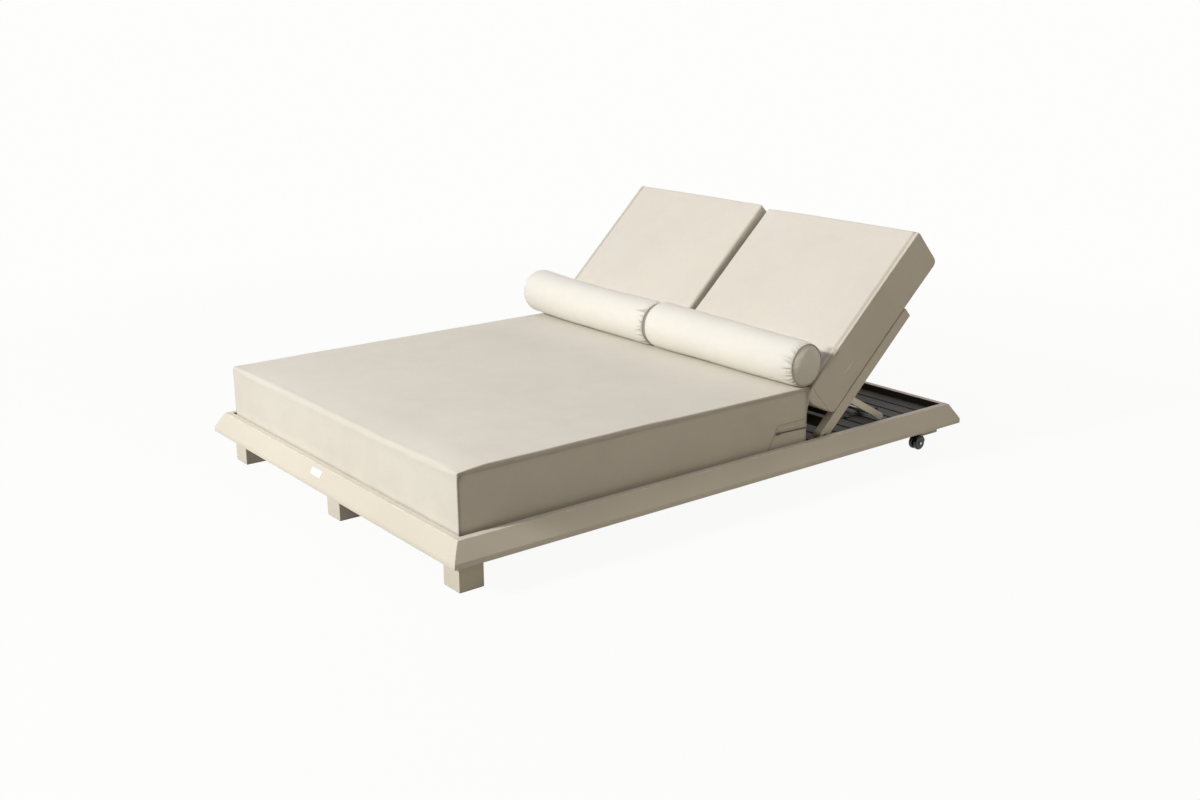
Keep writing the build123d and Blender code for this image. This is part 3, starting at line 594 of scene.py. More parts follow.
class Finishes:
    """Every finish of the lounger, built once and handed to the classes that make its pieces."""

    def __init__(self) -> None:
        """Builds the materials."""
        taupe, taupe_dust, slate = (0.690, 0.636, 0.530), (0.700, 0.660, 0.580), (0.027, 0.0225, 0.0165)
        self.cushion = Canvas(
            "cushion_canvas", (0.755, 0.714, 0.637), (0.690, 0.643, 0.562), (0.775, 0.735, 0.625)
        ).build()
        self.bolster = Canvas(
            "bolster_canvas",
            (0.850, 0.826, 0.760),
            (0.790, 0.758, 0.684),
            (0.865, 0.838, 0.752),
            crease_depth=0.0016,
            crease_scale=15.0,
        ).build()
        self.seam = Canvas(
            "seam_canvas", (0.640, 0.590, 0.500), (0.540, 0.490, 0.410), (0.640, 0.590, 0.490), crease_depth=0.0004
        ).build()
        self.piping = Canvas(
            "piping_canvas", (0.600, 0.560, 0.480), (0.480, 0.440, 0.370), (0.600, 0.560, 0.470), crease_depth=0.0004
        ).build()
        self.thread = Thread("seam_thread", (0.780, 0.730, 0.640), (0.560, 0.510, 0.430)).build()
        self.frame = Coat("frame_coat", taupe, (0.760, 0.720, 0.640), taupe_dust).build()
        # Painted light: the prop legs carry the frame's paint, here given a much lighter colour to stand in for the
        # light that falls on them.
        self.prop = Coat("prop_coat", (0.950, 0.895, 0.790), (0.900, 0.860, 0.780), (0.880, 0.840, 0.760)).build()
        # Rail coat: its light edge colour and high edge share are a painted highlight on top of scraped coat.
        self.rail = Coat(
            "rail_coat",
            taupe,
            (0.900, 0.870, 0.800),
            taupe_dust,
            wear=0.85,
            # Painted shade for the inner walls of the well.
            lining=(0.060, 0.049, 0.034),
            lined_half=(0.7476, 1.0266),
        ).build()
        self.slat = Coat(
            "slat_coat", slate, (0.110, 0.100, 0.085), (0.050, 0.044, 0.036), roughness=0.6, dust=0.3
        ).build()
        self.mill = Bare("mill_aluminium", (0.60, 0.60, 0.61)).build()
        self.steel = Bare("satin_steel", (0.52, 0.51, 0.49), grain=(400.0, 400.0, 400.0)).build()
        self.bronze = Bare("dark_bronze", (0.10, 0.075, 0.055), roughness=0.3, grain=(300.0, 300.0, 300.0)).build()
        self.shell = Moulded("caster_shell", (0.010, 0.010, 0.011), (0.060, 0.060, 0.060)).build()
        self.tread = Moulded("caster_tread", (0.016, 0.016, 0.017), (0.090, 0.088, 0.082), roughness=0.12).build()
        self.cap = Moulded("cap_plastic", (0.430, 0.385, 0.310), (0.540, 0.500, 0.420), roughness=0.55).build()
        self.tape = Moulded("zip_tape", (0.300, 0.265, 0.215), (0.380, 0.340, 0.290), roughness=0.6).build()
        self.plate = Coat(
            "plate_enamel", (0.900, 0.900, 0.875), (0.700, 0.700, 0.690), (0.860, 0.855, 0.830), roughness=0.3, wear=0.3
        ).build()


# ---------------------------------------------------------------- mesh tools


def new_object(name: str, data: bpy.types.ID) -> Piece:
    """Links a new object to the scene, at the origin.

    Args:
        name: its name.
        data: its mesh, lamp or camera.

    Returns:
        The object.
    """
    made = bpy.data.objects.new(name, data)
    bpy.context.scene.collection.objects.link(made)
    return made


def new_piece(name: str, points: Iterable[Sequence[float]], faces: Iterable[Sequence[int]]) -> Piece:
    """Makes a mesh object at the origin.

    Args:
        name: the piece's name.
        points: its vertices in the row frame.
        faces: its faces.

    Returns:
        The new object.
    """
    mesh = bpy.data.meshes.new(name)
    mesh.from_pydata([tuple(map(float, p)) for p in points], [], [tuple(map(int, f)) for f in faces])
    mesh.update()
    return new_object(name, mesh)


def declare(piece: Piece, body: str, node: str | None = None) -> Piece:
    """Says what a finished piece rides on and the node that it stands for.

    Args:
        piece: the piece.
        body: the body that it rides on.
        node: the node that it replaces, if it does.

    Returns:
        The piece.
    """
    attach(piece, body)
    if node is not None:
        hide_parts(node)
    return piece


def points_of(mesh: Mesh, key: str = "co") -> np.ndarray:
    """A mesh's vertices, or another of their values, as an array of rows."""
    flat = np.zeros(len(mesh.vertices) * 3)
    mesh.vertices.foreach_get(key, flat)
    return flat.reshape(-1, 3)


def normals_of(mesh: Mesh) -> np.ndarray:
    """A mesh's vertex normals as an array of rows."""
    return points_of(mesh, "normal")


def ring_faces(rings: int, around: int, joined: bool = False) -> list[Face]:
    """Quads between rings of points that follow one another.

    Args:
        rings: how many rings there are.
        around: points in each ring.
        joined: whether the last ring meets the first one.

    Returns:
        The faces.
    """
    faces: list[Face] = []
    for i in range(rings if joined else rings - 1):
        a, b = i * around, (i + 1) % rings * around
        for k in range(around):
            m = (k + 1) % around
            faces.append((a + k, a + m, b + m, b + k))
    return faces


def set_points(mesh: Mesh, points: np.ndarray) -> None:
    """Writes new vertex places to a mesh."""
    mesh.vertices.foreach_set("co", points.ravel())
    mesh.update()


def smooth(piece: Piece) -> Piece:
    """Shades every face of a piece smooth."""
    piece.data.polygons.foreach_set("use_smooth", [True] * len(piece.data.polygons))
    return piece


def paint(piece: Piece, material: Material) -> Piece:
    """Gives a piece one material."""
    piece.data.materials.clear()
    piece.data.materials.append(material)
    return piece


def unit(rows: np.ndarray) -> np.ndarray:
    """Rows scaled to length 1."""
    return rows / np.maximum(np.linalg.norm(rows, axis=1, keepdims=True), TINY)


def mend_normals(mesh: Mesh) -> None:
    """Turns the faces of a closed mesh outwards."""
    made = bmesh.new()
    made.from_mesh(mesh)
    bmesh.ops.recalc_face_normals(made, faces=made.faces)
    made.to_mesh(mesh)
    made.free()
    mesh.update()


def field(points: np.ndarray, scale: float, seed: float) -> np.ndarray:
    """Smooth noise from -1 to 1 at each point.

    Args:
        points: places in metres.
        scale: waves per metre.
        seed: shifts the pattern.

    Returns:
        One value for each point.
    """
    shift = Vector((seed, 1.7 * seed, -0.6 * seed))
    return np.array([noise.noise(Vector(p) * scale + shift) for p in points])


def mark_folds(mesh: Mesh, values: np.ndarray) -> None:
    """Stores how much painted shade each vertex gets: the fabric's colour is darkened there to stand in for shade in
    folds, seams and corners and under other pieces.

    Args:
        mesh: the cover's mesh.
        values: one share for each vertex.
    """
    layer = mesh.attributes.new(name=PAINTED_SHADE_MARK, type="FLOAT", domain="POINT")
    layer.data.foreach_set("value", np.asarray(values, dtype=np.float32))


def step_up(value: np.ndarray, low: float, high: float) -> np.ndarray:
    """A smooth step from 0 at low to 1 at high."""
    t = np.clip((value - low) / (high - low), 0.0, 1.0)
    return t * t * (3 - 2 * t)


@dataclass(frozen=True)
class Axes:
    """A piece's own axes in the row frame: across it, along it and out of its face."""

    origin: Vector
    across: Vector
    along: Vector
    out: Vector

    def rows(self) -> np.ndarray:
        """The three axes as the rows of a matrix."""
        return np.array([self.across, self.along, self.out])

    def to_row(self, local: np.ndarray) -> np.ndarray:
        """Points from these axes to the row frame."""
        return np.asarray(local) @ self.rows() + np.array(self.origin)

    def to_local(self, points: np.ndarray) -> np.ndarray:
        """Points from the row frame to these axes."""
        return (np.asarray(points) - np.array(self.origin)) @ self.rows().T


LEVEL = Axes(Vector((0, 0, 0)), Vector((1, 0, 0)), Vector((0, 1, 0)), Vector((0, 0, 1)))


def lay_weave(mesh: Mesh, axes: Axes) -> None:
    """Gives a mesh a weave map in metres, laid square on each face from the piece's own axes.

    Args:
        mesh: the mesh.
        axes: the piece's axes.
    """
    layer = mesh.uv_layers.get(WEAVE_MAP) or mesh.uv_layers.new(name=WEAVE_MAP)
    local = axes.to_local(points_of(mesh))
    rows = axes.rows()
    values = np.zeros((len(mesh.loops), 2))
    for face in mesh.polygons:
        facing = np.abs(rows @ np.array(face.normal))
        flat = [axis for axis in range(3) if axis != int(np.argmax(facing))]
        for loop in face.loop_indices:
            values[loop] = local[mesh.loops[loop].vertex_index][flat]
    layer.data.foreach_set("uv", values.ravel())


def weighted_normals(piece: Piece) -> None:
    """Keeps flat faces flat in the shading, next to rounded edges."""
    modifier = piece.modifiers.new("flat_faces", "WEIGHTED_NORMAL")
    modifier.keep_sharp = True
    modifier.weight = FLAT_WEIGHT


@dataclass(frozen=True)
class Trim:
    """How the solid of a hard piece is dressed: its rounded edges, finish and record slot."""

    finish: Material
    slot: str
    rounding: float
    segments: int
    crease: float = math.radians(32.0)


def dress(nodes: dict[str, Piece], node: str, trim: Trim) -> Piece:
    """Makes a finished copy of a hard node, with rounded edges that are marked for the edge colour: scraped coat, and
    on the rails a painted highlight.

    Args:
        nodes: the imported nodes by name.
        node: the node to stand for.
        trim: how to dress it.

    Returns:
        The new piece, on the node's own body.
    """
    made = bmesh.new()
    made.from_mesh(nodes[node].data)
    bmesh.ops.remove_doubles(made, verts=made.verts, dist=NEAR)
    bmesh.ops.dissolve_limit(made, angle_limit=LEVEL_ANGLE, verts=made.verts, edges=made.edges)
    sharp = [edge for edge in made.edges if edge.is_manifold and edge.calc_face_angle() > trim.crease]
    mark = made.faces.layers.float.new(RIM_MARK)
    if trim.rounding > 0 and sharp:
        rounded = bmesh.ops.bevel(
            made,
            geom=sharp,
            offset=trim.rounding,
            offset_type="OFFSET",
            segments=trim.segments,
            profile=0.5,
            affect="EDGES",
            clamp_overlap=True,
        )
        for face in rounded["faces"]:
            face[mark] = 1.0
    mesh = bpy.data.meshes.new(f"{node}_finished")
    made.to_mesh(mesh)
    made.free()
    piece = smooth(paint(new_object(f"{node}_finished", mesh), trim.finish))
    weighted_normals(piece)
    return declare(piece, nodes[node]["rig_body"], node)


# ---------------------------------------------------------------- Geometry Nodes


def finish_tree(board: Board, result: Sockets, instances: Socket, finish: Socket) -> Tree:
    """Ends a Geometry Nodes tree in Realize Instances and Set Material.

    Args:
        board: the tree's board.
        result: the sockets that the tree fills.
        instances: what is to be realised.
        finish: the material's socket.

    Returns:
        The tree.
    """
    real = board.call("GeometryNodeRealizeInstances", {0: instances})
    board.feed(result[0], board.call("GeometryNodeSetMaterial", {"Geometry": real, "Material": finish}))
    return board.tree


def slat_tree() -> Tree:
    """A row of slats with rounded edges, along X and spaced along Y.

    Returns:
        The tree.
    """
    sizes = {"Start": 0.0, "Pitch": 0.07, "Middle": 0.0, "Level": 0.1, "Length": 1.0, "Width": 0.06}
    sizes |= {"Thickness": 0.02, "Edge": 0.002}
    inputs = [("Geometry", GEOMETRY, None), ("Count", COUNT, 6), ("Finish", MATERIAL, None)]
    inputs += [(name, FLOAT, size) for name, size in sizes.items()]
    board, given, result = new_group("slat_row", GEOMETRY_TREE, inputs, [("Geometry", GEOMETRY)])
    half = board.times(given["Length"], 0.5)
    start, end = (
        board.call("ShaderNodeCombineXYZ", {0: board.maths(way, given["Middle"], half)}) for way in ("SUBTRACT", "ADD")
    )
    spine = board.call("GeometryNodeCurvePrimitiveLine", {"Start": start, "End": end})
    section = board.call(
        "GeometryNodeCurvePrimitiveQuadrilateral", {"Width": given["Width"], "Height": given["Thickness"]}
    )
    rounded = board.call(
        "GeometryNodeFilletCurve", {"Curve": section, "Radius": given["Edge"], "Count": 3}, mode="POLY"
    )
    slat = board.call("GeometryNodeCurveToMesh", {"Curve": spine, "Profile Curve": rounded, "Fill Caps": True})
    first = board.call("ShaderNodeCombineXYZ", {1: given["Start"], 2: given["Level"]})
    step = board.call("ShaderNodeCombineXYZ", {1: given["Pitch"]})
    row = board.call("GeometryNodeMeshLine", {"Count": given["Count"], "Start Location": first, "Offset": step})
    placed = board.call("GeometryNodeInstanceOnPoints", {"Points": row, "Instance": slat})
    return finish_tree(board, result, placed, given["Finish"])


def stitch_tree() -> Tree:
    """Stitches along a path of edges, each a small thread lying along it.

    Returns:
        The tree.
    """
    inputs = [("Geometry", GEOMETRY, None), ("Seed", COUNT, 7), ("Finish", MATERIAL, None)]
    inputs += [("Spacing", FLOAT, 0.006), ("Length", FLOAT, 0.0042), ("Gauge", FLOAT, 0.0011)]
    board, given, result = new_group("stitch_run", GEOMETRY_TREE, inputs, [("Geometry", GEOMETRY)])
    path = board.call("GeometryNodeMeshToCurve", {"Mesh": given["Geometry"]})
    spots = board.call("GeometryNodeResampleCurve", {"Curve": path, "Length": given["Spacing"]}, mode="LENGTH")
    along = board.add("GeometryNodeInputTangent").outputs[0]
    turn = board.call("FunctionNodeAlignRotationToVector", {"Vector": along}, axis="Z")
    length = board.times(given["Length"], board.random(0.86, 1.08, given["Seed"]))
    ball = board.call("GeometryNodeMeshUVSphere", {"Segments": 6, "Rings": 4, "Radius": 0.5})
    size = board.call("ShaderNodeCombineXYZ", {0: given["Gauge"], 1: given["Gauge"], 2: length})
    copies = {"Points": spots, "Instance": ball, "Rotation": turn, "Scale": size}
    return finish_tree(board, result, board.call("GeometryNodeInstanceOnPoints", copies), given["Finish"])


def copies_tree() -> Tree:
    """Copies of one small part at every vertex of a mesh, such as screws or zip teeth.

    Returns:
        The tree.
    """
    inputs = [("Geometry", GEOMETRY, None), ("Part", OBJECT, None), ("Turn", FLOAT, 0.0), ("Seed", COUNT, 3)]
    inputs += [("Finish", MATERIAL, None)]
    board, given, result = new_group("part_copies", GEOMETRY_TREE, inputs, [("Geometry", GEOMETRY)])
    part = board.call("GeometryNodeObjectInfo", {"Object": given["Part"]}, "Geometry")
    spin = board.call("ShaderNodeCombineXYZ", {2: board.random(0.0, given["Turn"], given["Seed"])})
    turn = board.call("FunctionNodeEulerToRotation", {0: spin})
    copies = {"Points": given["Geometry"], "Instance": part, "Rotation": turn}
    return finish_tree(board, result, board.call("GeometryNodeInstanceOnPoints", copies), given["Finish"])


class Patterns:
    """The Geometry Nodes trees, and the way they are run."""

    def __init__(self) -> None:
        """Builds the trees."""
        self.slats = slat_tree()
        self.stitches = stitch_tree()
        self.copies = copies_tree()

    @staticmethod
    def run(name: str, seed_mesh: Mesh, tree: Tree, inputs: dict[str, object]) -> Piece:
        """Runs a tree on a mesh and keeps the result as a plain piece at the origin.

        Args:
            name: the piece's name.
            seed_mesh: the mesh that the tree starts from.
            tree: the tree.
            inputs: its inputs by socket name.

        Returns:
            The new piece, shaded smooth.
        """
        holder = new_object(f"{name}_source", seed_mesh)
        modifier = holder.modifiers.new("pattern", "NODES")
        modifier.node_group = tree
        for item in tree.interface.items_tree:
            if item.item_type == "SOCKET" and item.in_out == "INPUT" and item.name in inputs:
                modifier[item.identifier] = inputs[item.name]
        holder.update_tag()
        graph = bpy.context.evaluated_depsgraph_get()
        mesh = bpy.data.meshes.new_from_object(holder.evaluated_get(graph), depsgraph=graph)
        holder.modifiers.clear()
        bpy.data.objects.remove(holder)
        mesh.name = name
        return new_object(name, mesh)

    def copy(self, name: str, part: Piece, places: Sequence[Place], turn: float, seed: int, finish: Material) -> Piece:
        """Puts a copy of a part at each place, and removes the part.

        Args:
            name: the piece's name.
            part: the part, at the origin.
            places: where its copies go.
            turn: the most that a copy is turned about Z, in radians.
            seed: fixes the turns.
            finish: the material.

        Returns:
            The copies as one piece.
        """
        inputs = {"Part": part, "Turn": turn, "Seed": seed, "Finish": finish}
        spots = path_mesh(f"{name}_places", [[place] for place in places])
        piece = self.run(name, spots, self.copies, inputs)
        bpy.data.objects.remove(part)
        return piece

    def slat_row(
        self, node: str, spans: Spans, corners: Sequence[Sequence[float]], edge: float, finish: Material
    ) -> Piece:
        """Lays a row of slats in the place of a node's.

        Args:
            node: the node that the row stands for.
            spans: where each slat starts and ends along Y.
            corners: lowest and highest corner of the row.
            edge: radius of the slats' edges.
            finish: the material.

        Returns:
            The row.
        """
        low, high = corners
        inputs = {
            "Count": len(spans),
            "Start": (spans[0][0] + spans[0][1]) / 2,
            "Pitch": (spans[-1][0] - spans[0][0]) / (len(spans) - 1),
            "Middle": float(low[0] + high[0]) / 2,
            "Level": float(low[2] + high[2]) / 2,
            "Length": float(high[0] - low[0]),
            "Width": spans[0][1] - spans[0][0],
            "Thickness": float(high[2] - low[2]),
            "Edge": edge,
            "Finish": finish,
        }
        row = self.run(f"{node}_finished", bpy.data.meshes.new(f"{node}_start"), self.slats, inputs)
        weighted_normals(smooth(row))
        return row


def path_mesh(name: str, paths: Sequence[np.ndarray], closed: bool = False) -> Mesh:
    """A mesh of edges along some paths.

    Args:
        name: the mesh's name.
        paths: rows of points for each path.
        closed: join each path's ends.

    Returns:
        The mesh.
    """
    points: list[tuple[float, ...]] = []
    edges: list[tuple[int, int]] = []
    for path in paths:
        base = len(points)
        points.extend(tuple(map(float, p)) for p in path)
        edges.extend((base + i, base + i + 1) for i in range(len(path) - 1))
        if closed:
            edges.append((base + len(path) - 1, base))
    mesh = bpy.data.meshes.new(name)
    mesh.from_pydata(points, edges, [])
    return mesh


# ---------------------------------------------------------------- sewn pieces


def graded(low: float, high: float, step: float, fine: float) -> np.ndarray:
    """Places from low to high, closer together near both ends.

    Args:
        low: first place.
        high: last place.
        step: spacing in the middle.
        fine: radius at the ends that needs the closer spacing.

    Returns:
        The places.
    """
    near = np.array([0.0, 0.12, 0.28, 0.56, 0.85, 1.2, 1.75]) * fine
    inner_low, inner_high = low + near[-1], high - near[-1]
    count = max(2, round((inner_high - inner_low) / step))
    middle = np.linspace(inner_low, inner_high, count + 1)
    return np.concatenate([low + near[:-1], middle, (high - near[:-1])[::-1]])


def block_shell(xs: np.ndarray, ys: np.ndarray, zs: np.ndarray) -> tuple[np.ndarray, list[Face]]:
    """The closed outside of a block as a grid of quads that face outwards.

    Args:
        xs: grid places in x.
        ys: grid places in y.
        zs: grid places in z.

    Returns:
        The vertices and the faces.
    """
    index: dict[tuple[int, int, int], int] = {}
    points: list[tuple[float, float, float]] = []

    def at(i: int, j: int, k: int) -> int:
        """The number of one grid vertex, made on first use."""
        key = (i, j, k)
        if key not in index:
            index[key] = len(points)
            points.append((xs[i], ys[j], zs[k]))
        return index[key]

    faces: list[Face] = []
    nx, ny, nz = len(xs) - 1, len(ys) - 1, len(zs) - 1
    for i in range(nx):
        for j in range(ny):
            faces.append((at(i, j, nz), at(i + 1, j, nz), at(i + 1, j + 1, nz), at(i, j + 1, nz)))
            faces.append((at(i, j, 0), at(i, j + 1, 0), at(i + 1, j + 1, 0), at(i + 1, j, 0)))
        for k in range(nz):
            faces.append((at(i, 0, k), at(i + 1, 0, k), at(i + 1, 0, k + 1), at(i, 0, k + 1)))
            faces.append((at(i, ny, k), at(i, ny, k + 1), at(i + 1, ny, k + 1), at(i + 1, ny, k)))
    for j in range(ny):
        for k in range(nz):
            faces.append((at(nx, j, k), at(nx, j + 1, k), at(nx, j + 1, k + 1), at(nx, j, k + 1)))
            faces.append((at(0, j, k), at(0, j, k + 1), at(0, j + 1, k + 1), at(0, j + 1, k)))
    return np.array(points), faces


@dataclass(frozen=True)
class SewnBlock:
    """A foam block in a sewn cover: one panel rolls over it from end to end, and a panel closes each side.

    The panel that rolls over has soft edges, tighter near its corners. Each side panel meets it in a seam
    with a tight edge.
    """

    half: Place
    roll: Place
    corner: Place
    seam_low: float
    seam_high: float
    crown: float
    draw: float
    step: float = 0.016
    taper: float = 0.11

    def lattice(self) -> tuple[np.ndarray, list[Face]]:
        """The block's grid before it is rounded.

        Returns:
            The vertices and the faces.
        """
        fine = (max(self.seam_low, self.seam_high), max(self.roll), max(self.roll))
        return block_shell(*(graded(-half, half, self.step, near) for half, near in zip(self.half, fine)))

    def edge_radius(self, x: np.ndarray, y: np.ndarray, z: np.ndarray) -> np.ndarray:
        """The radius of the rolled panel's edges near each vertex.

        Args:
            x: places across the block.
            y: places along it.
            z: places up it.

        Returns:
            One radius for each vertex.
        """
        tight, soft = (
            np.where(z < 0, bottom, np.where(y < 0, front_top, rear_top))
            for front_top, rear_top, bottom in (self.corner, self.roll)
        )
        return tight + (soft - tight) * step_up(self.half[0] - np.abs(x), 0.0, self.taper)

    def rounded(self, points: np.ndarray) -> np.ndarray:
        """Rounds the block's edges and gives its faces their crown and its sides their draw.

        Args:
            points: vertices of the sharp block, in its own axes.

        Returns:
            The moved vertices.
        """
        hx, hy, hz = self.half
        x, y, z = points.T
        roll = self.edge_radius(x, y, z)
        core_y = np.clip(y, -(hy - roll), hy - roll)
        core_z = np.clip(z, -(hz - roll), hz - roll)
        dy, dz = y - core_y, z - core_z
        reach = np.maximum(np.abs(dy), np.abs(dz))
        length = np.maximum(np.hypot(dy, dz), TINY)
        dy, dz = dy * reach / length, dz * reach / length
        seam = np.where(x < 0, self.seam_low, self.seam_high)
        centre_x = np.clip(x, -(hx - seam), hx - seam)
        span = np.maximum(np.hypot(dy, dz), TINY)
        keep = np.minimum(1.0, (roll - seam) / span)
        flat = np.stack([centre_x, core_y + dy * keep, core_z + dz * keep], 1)
        moved = np.stack([x, core_y + dy, core_z + dz], 1)
        offset = moved - flat
        size = np.linalg.norm(offset, axis=1)
        scale = np.where(size > seam, seam / np.maximum(size, TINY), 1.0)
        shaped = flat + offset * scale[:, None]
        across = np.clip(1 - (shaped[:, 0] / hx) ** 2, 0, 1)
        along = np.clip(1 - (shaped[:, 1] / hy) ** 2, 0, 1)
        upper = step_up(shaped[:, 2], -0.2 * hz, hz)
        shaped[:, 2] += self.crown * upper * np.sqrt(across * along)
        shaped[:, 0] *= 1 - self.draw / hx * along
        return shaped

    def seam_points(self, points: np.ndarray) -> np.ndarray:
        """Which vertices lie on the two side seams.

        Args:
            points: vertices of the sharp block.

        Returns:
            True for each vertex on a seam.
        """
        hx, hy, hz = self.half
        end = np.abs(np.abs(points[:, 0]) - hx) < NEAR
        rim = (np.abs(np.abs(points[:, 1]) - hy) < NEAR) | (np.abs(np.abs(points[:, 2]) - hz) < NEAR)
        return end & rim

    def seam_loop(self, sign: int, inset: float = 0.0, count: int = 240) -> np.ndarray:
        """The path of one side seam, in the block's own axes.

        Args:
            sign: which end of x.
            inset: how far inside the panel's edge.
            count: points along it.

        Returns:
            The closed path's points.
        """
        hx, hy, hz = self.half
        front_top, rear_top, bottom = self.corner
        corners = (
            (-hy, hz, front_top, 180.0),
            (hy, hz, rear_top, 90.0),
            (hy, -hz, bottom, 0.0),
            (-hy, -hz, bottom, -90.0),
        )
        path = []
        for y, z, roll, start in corners:
            cy, cz = y - math.copysign(roll, y), z - math.copysign(roll, z)
            for k in range(9):
                turn = math.radians(start - 90 * k / 8)
                reach = max(roll - inset, 0.0005)
                path.append((sign * hx, cy + reach * math.cos(turn), cz + reach * math.sin(turn)))
        return resample(np.array(path + path[:1]), count)[:-1]


def resample(path: np.ndarray, count: int) -> np.ndarray:
    """Points spaced evenly along a path.

    Args:
        path: the path's points.
        count: number of spaces.

    Returns:
        One more point than there are spaces.
    """
    lengths = np.concatenate([[0.0], np.cumsum(np.linalg.norm(np.diff(path, axis=0), axis=1))])
    wanted = np.linspace(0.0, lengths[-1], count + 1)
    return np.stack([np.interp(wanted, lengths, path[:, axis]) for axis in range(3)], 1)


def fill_by_cloth(piece: Piece, held: np.ndarray, pressure: float, cap: float) -> None:
    """Swells a closed cover by a cloth simulation, with a limit on how far a point may move.

    A firm foam core keeps the cover from being pulled inwards, so only the outward part counts in full.

    Args:
        piece: the cover.
        held: which vertices stay in place.
        pressure: air pressure inside.
        cap: the largest move, in metres.
    """
    start = points_of(piece.data)
    group = piece.vertex_groups.new(name="held")
    group.add([int(i) for i in np.flatnonzero(held)], 1.0, "REPLACE")
    cloth = piece.modifiers.new("fill", "CLOTH")
    settings = cloth.settings
    settings.quality = 4
    settings.vertex_group_mass = "held"
    settings.use_pressure = True
    settings.uniform_pressure_force = pressure
    settings.effector_weights.gravity = 0.0
    settings.tension_stiffness = 12.0
    settings.compression_stiffness = 12.0
    settings.shear_stiffness = 5.0
    settings.bending_stiffness = 0.6
    cloth.collision_settings.use_collision = False
    cloth.point_cache.frame_start = 1
    cloth.point_cache.frame_end = FILL_FRAMES
    scene = bpy.context.scene
    for frame in range(1, FILL_FRAMES + 1):
        scene.frame_set(frame)
    graph = bpy.context.evaluated_depsgraph_get()
    swollen = bpy.data.meshes.new_from_object(piece.evaluated_get(graph), depsgraph=graph)
    move = points_of(swollen) - start
    bpy.data.meshes.remove(swollen)
    facing = normals_of(piece.data)
    outward = (move * facing).sum(1, keepdims=True)
    sideways = move - facing * outward
    flat_sides = 1 - (1 - FLAT_SHARE) * step_up(np.abs(facing[:, :1]), 0.6, 0.95)
    move = facing * np.maximum(outward, 0.0) * flat_sides + sideways * SLIP_SHARE
    piece.modifiers.clear()
    piece.vertex_groups.clear()
    scene.frame_set(1)
    fullest = float(np.percentile(np.linalg.norm(move, axis=1), 99))
    set_points(piece.data, start + move * min(1.0, cap / max(fullest, NEAR)))


def surface_tree(piece: Piece) -> BVHTree:
    """A search tree on a piece's finished surface, modifiers included."""
    bpy.context.view_layer.update()
    return BVHTree.FromObject(piece, bpy.context.evaluated_depsgraph_get())


def on_surface(tree: BVHTree, path: np.ndarray, lift: float = 0.0) -> tuple[np.ndarray, np.ndarray]:
    """Moves a path onto a surface.

    Args:
        tree: the surface's search tree.
        path: points near it.
        lift: how far off the surface to stay.

    Returns:
        The moved points and the surface's normals there.
    """
    found = [tree.find_nearest(Vector(p)) for p in path]
    places = np.array([f[0] for f in found])
    facing = np.array([f[1] for f in found])
    kernel = np.array([0.25, 0.5, 0.25])
    for _ in range(3):
        padded = np.concatenate([facing[:1], facing, facing[-1:]])
        facing = unit(sum(w * padded[i : i + len(facing)] for i, w in enumerate(kernel)))
    return places + facing * lift, facing


@dataclass(frozen=True)
class Welt:
    """A raised line of cloth on a cover: a seam's ridge, a felled seam's flat strip or a piping."""

    width: float
    height: float
    shoulders: float = 0.33
    sunk: float = 0.0008

    def sweep(self, name: str, path: np.ndarray, facing: np.ndarray, closed: bool) -> Piece:
        """Makes the strip along a path.

        Args:
            name: the piece's name.
            path: points on the surface.
            facing: the surface's normal at each.
            closed: whether the path closes on itself.

        Returns:
            The new piece, closed all round.
        """
        half, edge = self.width / 2, self.width / 2 * (1 - self.shoulders)
        section = [
            (-half, -self.sunk),
            (-half, 0.35 * self.height),
            (-edge, self.height),
            (0.0, 1.04 * self.height),
            (edge, self.height),
            (half, 0.35 * self.height),
            (half, -self.sunk),
        ]
        ahead = np.roll(path, -1, 0) - np.roll(path, 1, 0)
        if not closed:
            ahead[0], ahead[-1] = path[1] - path[0], path[-1] - path[-2]
        sideways = unit(np.cross(unit(ahead), facing))
        rings = [path + sideways * a + facing * b for a, b in section]
        points = np.stack(rings, 1).reshape(-1, 3)
        across, count = len(section), len(path)
        faces = ring_faces(count, across, closed)
        if not closed:
            faces += [tuple(range(across)), tuple(reversed(range((count - 1) * across, count * across)))]
        piece = new_piece(name, points, faces)
        mend_normals(piece.data)
        return smooth(piece)


